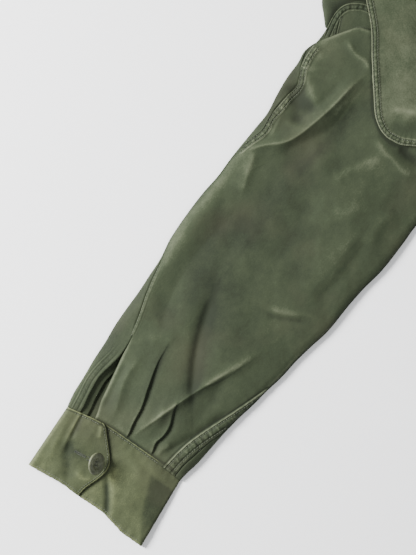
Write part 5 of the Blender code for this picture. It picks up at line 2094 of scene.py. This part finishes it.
@dataclass
class StormFlap:
    """The storm flap: sewn in at neck and shoulder, free and twice stitched at its outer edge."""

    fronts: Fronts
    form: SleeveForm
    columns: int = 170
    rows: int = 150
    side_band: float = 7.4
    low_band: float = 5.0

    def outline(self) -> Array:
        """The free edge from the neck end of the hem round the corner to the shoulder.

        Returns:
            Places in x and y.
        """
        lower = smooth_curve(FLAP_LOWER, 160)[::-1]
        outer = smooth_curve(FLAP_OUTER, 160)
        return np.vstack([lower, outer[1:]])

    def cover(self, x: Array, y: Array) -> Array:
        """Height of what lies under the flap: the front, or the sleeve past the armhole.

        Args:
            x: Places across the body.
            y: Places along it.

        Returns:
            Height in millimetres.
        """
        s, t = to_sleeve(x, y)
        seam = armhole_curve(17)
        seam_x = np.interp(y, seam[:, 1], seam[:, 0])
        on_front = smoothstep((x - seam_x + 4.0) / 8.0)
        sleeve = self.form.top(s, np.minimum(t, self.form.top_end(s)))
        front = self.fronts.top(-np.abs(x), y, RIGHT_FRONT_SEED)
        return sleeve + (front - sleeve) * on_front

    def height(self, x: Array, y: Array) -> Array:
        """Height of the flap's upper face.

        Args:
            x: Places across the body.
            y: Places along it.

        Returns:
            The cover, smoothed to its upper side, with gap, wall, folds, edge band and grooves.
        """
        cover = self.cover(x, y)
        reach = 7.0
        for dx, dy in ((reach, 0.0), (-reach, 0.0), (0.0, reach), (0.0, -reach)):
            cover = np.maximum(cover, self.cover(x + dx, y + dy))
        if cover.ndim == 2:
            cover = blurred(cover, 30)
        distance, _, along = path_distance(self.outline(), x, y)
        inside = np.abs(distance)
        band = self.band_width(y)
        raised = 0.55 * smoothstep((band + 1.0 - inside) / 1.4)
        grooves = -0.5 * bell(inside, 0.6, 1.9) - 0.6 * bell(inside, 0.7, band)
        rolled = -0.9 * bell(inside, 0.7)
        puckers = 0.16 * bell(inside, band, 0.5 * band) * np.sin(along / 0.95 + np.sin(along / 8.0))
        waves = 0.5 * value_noise(x, y, 40.0, 60.0, 81) + 0.22 * value_noise(x, y, 16.0, 20.0, 82)
        waves = waves + 0.08 * value_noise(x, y, 6.0, 6.0, 83)
        free = smoothstep(inside / 14.0)
        lapped = LAP_LIFT * smoothstep((x + 72.0) / 34.0)
        return (cover + lapped + 2.0 * LAY_GAP + WALL + fold_relief(FLAP_FOLDS, x, y) * free + waves * free
                + raised + grooves + rolled + puckers)

    def grid(self) -> Array:
        """Grid of the flap's upper face, denser towards its free edges.

        Returns:
            Places, columns along the lower edge by rows up.
        """
        dense = np.linspace(0.0, 1.0, self.rows) ** 1.25
        outer = at_shares(smooth_curve(FLAP_OUTER, 400), dense)
        inner = at_shares(smooth_curve(FLAP_INNER, 400), dense)
        lower = at_shares(smooth_curve(FLAP_LOWER, 400), np.linspace(0.0, 1.0, self.columns) ** 1.35)
        upper_x = np.interp(lower[:, 0], (lower[0, 0], lower[-1, 0]), (outer[-1, 0], inner[-1, 0]))
        upper = np.column_stack([upper_x, shoulder_y(upper_x) - 1.0])
        upper[0], upper[-1] = outer[-1], inner[-1]
        x, y = np.moveaxis(blended_patch(lower, upper, outer, inner, dense), 2, 0)
        return np.dstack([x, y, self.height(x, y)])

    def band_width(self, y: Array) -> Array:
        """Width of the twice stitched band: wider at the side than along the lower edge."""
        return self.side_band + (self.low_band - self.side_band) * smoothstep(-(y + 150.0) / 16.0)

    def seams(self, x: Array, y: Array) -> SeamField:
        """The flap's edge band as a seam field.

        Args:
            x: Places across the body.
            y: Places along it.

        Returns:
            The field.
        """
        distance, _, along = path_distance(self.outline(), x, y)
        across = np.clip(np.abs(distance) / self.band_width(y), 0.0, 1.5)
        return SeamField(across, along, 1.0 - smoothstep((across - 1.2) / 0.2))

    def edge_rows(self, grid: Array) -> list[StitchRow]:
        """Two rows beside the free edge, set on the grid's own cloth.

        Args:
            grid: The flap's grid.

        Returns:
            The two rows.
        """
        outline = self.outline()[40:-4]
        step = np.gradient(outline, axis=0)
        step /= np.linalg.norm(step, axis=1, keepdims=True)
        inward = np.column_stack([step[:, 1], -step[:, 0]])
        rows = []
        width = self.band_width(outline[:, 1])
        for offset in (0.20 * width, 0.83 * width):
            line = outline + offset[:, None] * inward
            rows.append(StitchRow(np.column_stack([line, nearest_height(grid, line)]), pitch=2.7, length=2.0))
        return rows

    def build(self, use: Finishes) -> None:
        """Make the flap and its stitches.

        Args:
            use: The materials.
        """
        grid = self.grid()
        x, y = grid[..., 0], grid[..., 1]
        stitches = stitch_piece("storm_flap_stitches", self.edge_rows(grid), use.thread)
        distance, _, _ = path_distance(self.outline(), x, y)
        # A painted highlight on the rolled free edge, a band inside it paler from fading, and painted shade
        # and light from relief and streaks.
        rim_highlight_and_fading = 0.14 * bell(distance, 1.2) + 0.06 * smoothstep((9.0 - np.abs(distance)) / 4.0)
        tone = relief_wear_and_shade(grid, 0.57, 0.18) + rim_highlight_and_fading + painted_shading_tone(FLAP_PAINTED_SHADING, x, y)
        piece = cloth_piece("storm_flap_cloth", grid, tone, use.cloth, WALL + 0.4, seams=self.seams(x, y))
        declare_sheet(["storm_flap"])


def nearest_height(grid: Array, places: Array) -> Array:
    """Height of a grid at the grid point nearest to each place.

    Args:
        grid: A grid of places.
        places: Where to read it, in x and y.

    Returns:
        One height for each place.
    """
    flat = grid.reshape(-1, 3)
    difference = flat[None, :, :2] - places[:, None, :]
    return flat[np.argmin((difference ** 2).sum(axis=2), axis=1), 2]


# Half the collar, from its point to the back: x and y of its roll, x and y of its outer edge
COLLAR_SECTIONS = (
    (-3.0, -76.0, -58.0, -130.0), (-28.0, -62.0, -92.0, -98.0), (-52.0, -36.0, -114.0, -52.0),
    (-70.0, -2.0, -126.0, -5.0), (-79.0, 28.0, -128.0, 34.0), (-70.0, 38.0, -112.0, 68.0),
    (-50.0, 35.0, -78.0, 88.0), (-25.0, 31.5, -40.0, 96.0), (0.0, 30.0, 0.0, COLLAR_TOP_Y),
)


@dataclass
class Collar:
    """The turned-down collar, from one point round the neck to the other."""

    columns: int = 130
    rows: int = 44
    stand_rows: int = 9
    edge_stitch: float = 6.0

    def cover(self, x: Array, y: Array) -> Array:
        """Height of what lies under the collar: fronts, lap and flap, or the back alone.

        Args:
            x: Places across the body.
            y: Places along it.

        Returns:
            Height in millimetres.
        """
        on_front = smoothstep((shoulder_y(np.maximum(np.abs(x), 45.0)) + 6.0 - y) / 14.0)
        lapped = LAP_LIFT * smoothstep((62.0 - np.abs(x)) / 34.0)
        fronts = BODY_TOP + 1.2 + lapped
        flap = 2.0 * SOLID_LAY_GAP + SOLID_WALL + 1.6
        return SOLID_WALL + (fronts + flap - SOLID_WALL) * on_front

    def grid(self) -> Array:
        """Grid of the collar's upper face, with a rolled edge and an edge groove.

        Returns:
            Places, columns round the neck by rows outwards.
        """
        halves = (smooth_curve([row[:2] for row in COLLAR_SECTIONS], self.columns),
                  smooth_curve([row[2:] for row in COLLAR_SECTIONS], self.columns))
        inner, outer = (np.vstack([half, half[-2::-1] * (-1.0, 1.0)]) for half in halves)
        share = np.linspace(0.0, 1.0, self.rows)
        x, y = np.moveaxis(ruled(inner, outer, share), 2, 0)
        width = np.linalg.norm(outer - inner, axis=1)[:, None]
        from_edge = (1.0 - share) * width
        roll = 1.6 * bell(share * width, 9.0, 4.0)
        waves = 0.4 * value_noise(x, y, 30.0, 30.0, 91) + 0.12 * value_noise(x, y, 8.0, 8.0, 92)
        edge = -0.9 * bell(from_edge, 0.9) - 0.45 * bell(from_edge, 0.8, self.edge_stitch)
        z = blurred(self.cover(x, y), 20) + LAY_GAP + COLLAR_WALL + 0.4 + roll + waves + edge
        return np.concatenate([self.stand(inner, outer, z[:, :1]), np.dstack([x, y, z])], axis=1)

    def stand(self, inner: Array, outer: Array, top: Array) -> Array:
        """The stand: from the seam on the back's neck edge up to the roll, lower at the fronts.

        Args:
            inner: The roll's places.
            outer: The outer edge's places.
            top: The roll's height at each of them.

        Returns:
            A grid whose last column would be the roll itself, left out.
        """
        outward = (outer - inner) / np.linalg.norm(outer - inner, axis=1, keepdims=True)
        at_back = smoothstep((74.0 - np.abs(inner[:, :1])) / 22.0) * smoothstep((inner[:, 1:] - 12.0) / 16.0)
        up = np.linspace(0.0, 1.0, self.stand_rows)[None, :-1]
        lean = (1.0 - up) * (5.0 * at_back + 0.5)
        height = 0.8 * (1.0 - at_back) + (top - 3.6) * at_back
        z = top - height * (1.0 - np.sin(0.5 * math.pi * up))
        return np.dstack([inner[:, :1] - outward[:, :1] * lean, inner[:, 1:] - outward[:, 1:] * lean, z])

    def build(self, use: Finishes) -> None:
        """Make the collar and its stitches.

        Args:
            use: The materials.
        """
        grid = self.grid()
        share = 1.0 - self.edge_stitch / np.linalg.norm(grid[:, -1] - grid[:, self.stand_rows], axis=1)
        index = (share * (self.rows - 1)).round().astype(int) + self.stand_rows - 1
        row = StitchRow(grid[np.arange(len(grid)), index])
        stitches = stitch_piece("collar_stitches", [row], use.thread)
        # Painted shade in hollows and paler crests from relief.
        piece = cloth_piece("collar_cloth", grid, relief_wear_and_shade(grid, 0.52, 0.14), use.cloth, COLLAR_WALL)
        declare_sheet(["collar"])


# ---------------------------------------------------------------- buttons


@dataclass
class Button:
    """A moulded four-hole button with a wide flat rim and a sunk centre."""

    name: str
    node: str
    centre: tuple[float, float, float]
    tilt: float
    turn: float
    radius: float = 11.5
    thick: float = 3.6
    sides: int = 96
    eye_spread: float = 1.85
    eye_radius: float = 1.0
    eye_sides: int = 18

    def profile(self) -> Array:
        """The turned outline: radius and height from the sunk centre over the rim to the back.

        Returns:
            The points of the outline.
        """
        front = np.array(((0.0, -1.7), (3.6, -1.65), (4.6, -1.4), (5.6, -0.6), (6.3, -0.12), (7.0, 0.0),
                          (9.4, 0.0), (10.5, -0.1), (11.2, -0.5), (self.radius, -1.2), (self.radius, -1.9),
                          (11.0, -2.5)))
        return np.vstack([front + (0.0, self.thick), ((8.8, 0.25), (7.8, 0.0), (0.0, 0.0))])

    def turned(self) -> tuple[Array, Array]:
        """The profile carried round the axis, as quads, with its two ends drawn in to the axis.

        Returns:
            Points in millimetres and four-sided faces.
        """
        outline = smooth_curve(self.profile(), 56)
        outline[:, 0] = np.maximum(outline[:, 0], 0.02)
        turn = np.linspace(0.0, 2.0 * math.pi, self.sides, endpoint=False)
        x = outline[:, :1] * np.cos(turn)[None, :]
        y = outline[:, :1] * np.sin(turn)[None, :]
        z = outline[:, 1:] + 0.0 * x
        points = np.stack([x, y, z], axis=2).reshape(-1, 3)
        index = np.arange(len(outline) * self.sides).reshape(len(outline), self.sides)
        after = np.roll(index, -1, axis=1)
        faces = np.stack([index[:-1], index[1:], after[1:], after[:-1]], axis=2).reshape(-1, 4)
        return points, faces

    def place(self, points: Array) -> Array:
        """Lean the button about its turn direction and set it in its place.

        Args:
            points: Places about the axis.

        Returns:
            Places on the coat.
        """
        lean = np.array([[math.cos(self.tilt), 0.0, math.sin(self.tilt)], [0.0, 1.0, 0.0],
                         [-math.sin(self.tilt), 0.0, math.cos(self.tilt)]])
        spin = np.array([[math.cos(self.turn), -math.sin(self.turn), 0.0],
                         [math.sin(self.turn), math.cos(self.turn), 0.0], [0.0, 0.0, 1.0]])
        return points @ lean.T @ spin.T + np.array(self.centre)

    def eye_places(self) -> Array:
        """The four thread holes, on a square about the axis."""
        angle = np.radians(45.0 + 90.0 * np.arange(4))
        return self.eye_spread * np.sqrt(2.0) * np.column_stack([np.cos(angle), np.sin(angle)])

    def build(self, use: Finishes) -> None:
        """Make the button, cut its holes and sew its thread through them.

        Args:
            use: The materials.
        """
        points, faces = self.turned()
        mesh = mesh_from_arrays(self.name, to_frame(self.place(points)), faces)
        piece = new_object(self.name, mesh)
        mesh.materials.append(use.plastic)
        weld = piece.modifiers.new("close_centre", "WELD")
        weld.merge_threshold = 0.00003
        self.cut_eyes(piece)
        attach(piece, "root")
        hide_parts(self.node)
        stitch_piece(self.name + "_thread", self.thread_rows(), use.thread)
        LOG.info("%s placed", self.name)

    def thread_rows(self) -> list[StitchRow]:
        """Two strands between each pair of holes, arched over the sunk centre, and the shank below.

        Returns:
            The rows.
        """
        k = np.linspace(0.0, 1.0, 24)[:, None]
        height = self.thick - 2.6 + 2.1 * np.sin(math.pi * k) ** 0.5
        rows = []
        for first, second in self.eye_places().reshape(2, 2, 2):
            for shift in (-0.35, 0.35):
                line = first * (1 - k) + second * k + (0.0, shift)
                rows.append(StitchRow(self.place(np.hstack([line, height])), 0.8, 1.5, 0.75, 0.0))
        shank = np.column_stack([np.zeros(10), np.zeros(10), np.linspace(-6.0, 0.4, 10)])
        return [*rows, StitchRow(self.place(shank), 0.9, 1.6, 2.6, 0.0)]

    def cut_eyes(self, piece: bpy.types.Object) -> None:
        """Cut the four holes with round cutters that are removed afterwards.

        Args:
            piece: The button, with its weld waiting.
        """
        count = self.eye_sides
        ring = np.linspace(0.0, 2.0 * math.pi, count, endpoint=False)
        circle = self.eye_radius * np.column_stack([np.cos(ring), np.sin(ring)])
        index = np.arange(count)
        after = np.roll(index, -1)
        sides = np.column_stack([index, after, after + count, index + count]).tolist()
        helpers = []
        for number, eye in enumerate(self.eye_places()):
            low, high = (np.column_stack([eye + circle, np.full(count, level)])
                         for level in (-2.0, self.thick + 2.0))
            mesh = bpy.data.meshes.new(f"{self.name}_eye_{number}")
            mesh.from_pydata(to_frame(self.place(np.vstack([low, high]))).tolist(), [],
                             [*sides, index[::-1].tolist(), (index + count).tolist()])
            helper = new_object(mesh.name, mesh)
            cut = piece.modifiers.new(mesh.name, "BOOLEAN")
            cut.object = helper
            cut.operation = "DIFFERENCE"
            helpers.append(helper)
        bpy.context.view_layer.update()
        evaluated = piece.evaluated_get(bpy.context.evaluated_depsgraph_get())
        result = bpy.data.meshes.new_from_object(evaluated)
        piece.modifiers.clear()
        old = piece.data
        piece.data = result
        bpy.data.meshes.remove(old)
        for helper in helpers:
            bpy.data.objects.remove(helper)


# ---------------------------------------------------------------- studio


@dataclass
class Studio:
    """A pale floor, soft light from the picture's upper left, and a camera straight above."""

    picture_height: int = 555
    distance: float = 4.0
    roll: float = math.radians(-20.0)
    centre: tuple[float, float] = (-516.0, -214.0)
    sensor: float = 36.0

    def floor(self) -> None:
        """A large plane with a pale, matt paper finish."""
        size, below = 6.0, -0.0004
        mesh = bpy.data.meshes.new("floor")
        corners = ((-size, -size), (size, -size), (size, size), (-size, size))
        mesh.from_pydata([(*corner, below) for corner in corners], [], [(0, 1, 2, 3)])
        made = NodeMaker("pale_paper")
        place = made.add("ShaderNodeTexCoord").outputs["Object"]
        stops = [(at, (level, level, level)) for at, level in ((0.3, 0.93), (0.7, 0.95))]
        grey = made.ramp(made.noise(place, 3.0, 2.0), stops)
        made.shade(Base_Color=grey, Roughness=0.9)
        mesh.materials.append(made.material)
        new_object("floor", mesh)

    def lights(self) -> None:
        """One large soft lamp at the upper left, a weaker one opposite, and a pale sky."""
        centre = to_frame((*self.centre, 0.0))
        for name, direction, distance, size, energy in (
                ("key", (-0.66, 0.56, 0.56), 2.2, 0.9, 215.0), ("fill", (0.5, -0.5, 1.1), 2.4, 2.2, 20.0)):
            light = bpy.data.lights.new(name, "AREA")
            light.shape = "DISK"
            light.size = size
            light.energy = energy
            lamp = new_object(name, light)
            way = np.array(direction) / np.linalg.norm(direction)
            lamp.location = centre + distance * way
            lamp.rotation_euler = (0.0, math.acos(way[2]), math.atan2(way[1], way[0]))
        world = bpy.data.worlds.new("pale_sky")
        bpy.context.scene.world = world
        world.use_nodes = True
        background = world.node_tree.nodes["Background"]
        background.inputs["Color"].default_value = (0.93, 0.96, 1.0, 1.0)
        background.inputs["Strength"].default_value = 0.52

    def camera(self) -> None:
        """A camera straight above the picture's centre, turned by the picture's roll."""
        data = bpy.data.cameras.new("camera")
        data.sensor_width = self.sensor
        data.lens = self.sensor * self.distance / (self.picture_height * MM)
        data.clip_end = 20.0
        camera = new_object("camera", data)
        camera.location = to_frame((*self.centre, self.distance / MM))
        camera.rotation_euler = (0.0, 0.0, self.roll)
        bpy.context.scene.camera = camera

    def build(self) -> None:
        """Set up camera, floor and lights."""
        self.camera()
        self.floor()
        self.lights()


def main() -> None:
    """Build the studio and the coat, piece by piece."""
    logging.basicConfig(level=logging.INFO, format="%(name)s: %(message)s")
    Studio().build()
    use = Finishes(*(finish.material() for finish in (SATEEN, CUFF_SATEEN, SEAM_THREAD, HOLE_THREAD,
                                                      OLIVE_PLASTIC)))
    right_form, left_form = SleeveForm(RIGHT_FOLDS, RIGHT_PAINTED_SHADING, 3), SleeveForm(LEFT_FOLDS, LEFT_PAINTED_SHADING, 13)
    fronts = Fronts()
    Back().build(use)
    Sleeve(Side.RIGHT, right_form).build(use)
    Sleeve(Side.LEFT, left_form, (30, 3, 16, 3, 24), 170, 120).build(use)
    for side in Side:
        Cuff(side).build(use)
    fronts.build(use)
    StormFlap(fronts, right_form).build(use)
    Collar().build(use)
    build_buttons(use)


def build_buttons(use: Finishes) -> None:
    """Set each button on its solid's place: the box of the solid gives its centre.

    Args:
        use: The materials.
    """
    for node in sorted(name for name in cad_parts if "button" in name):
        low, high = (np.array(corner, dtype=float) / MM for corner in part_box(node))
        middle = 0.5 * (low + high) - np.array([0.0, FRAME_SHIFT, 0.0])
        tilt, turn = 0.0, 0.0
        if "cuff" in node:
            tilt = math.radians(50.0)
            turn = math.radians(-31.0 if node.startswith("right") else 211.0)
        half = 1.8
        lean = np.array([math.sin(tilt) * math.cos(turn), math.sin(tilt) * math.sin(turn), math.cos(tilt)])
        centre = tuple(middle - half * lean)
        Button(node + "_moulded", node, centre, tilt, turn).build(use)


if __name__ == "__main__":
    main()
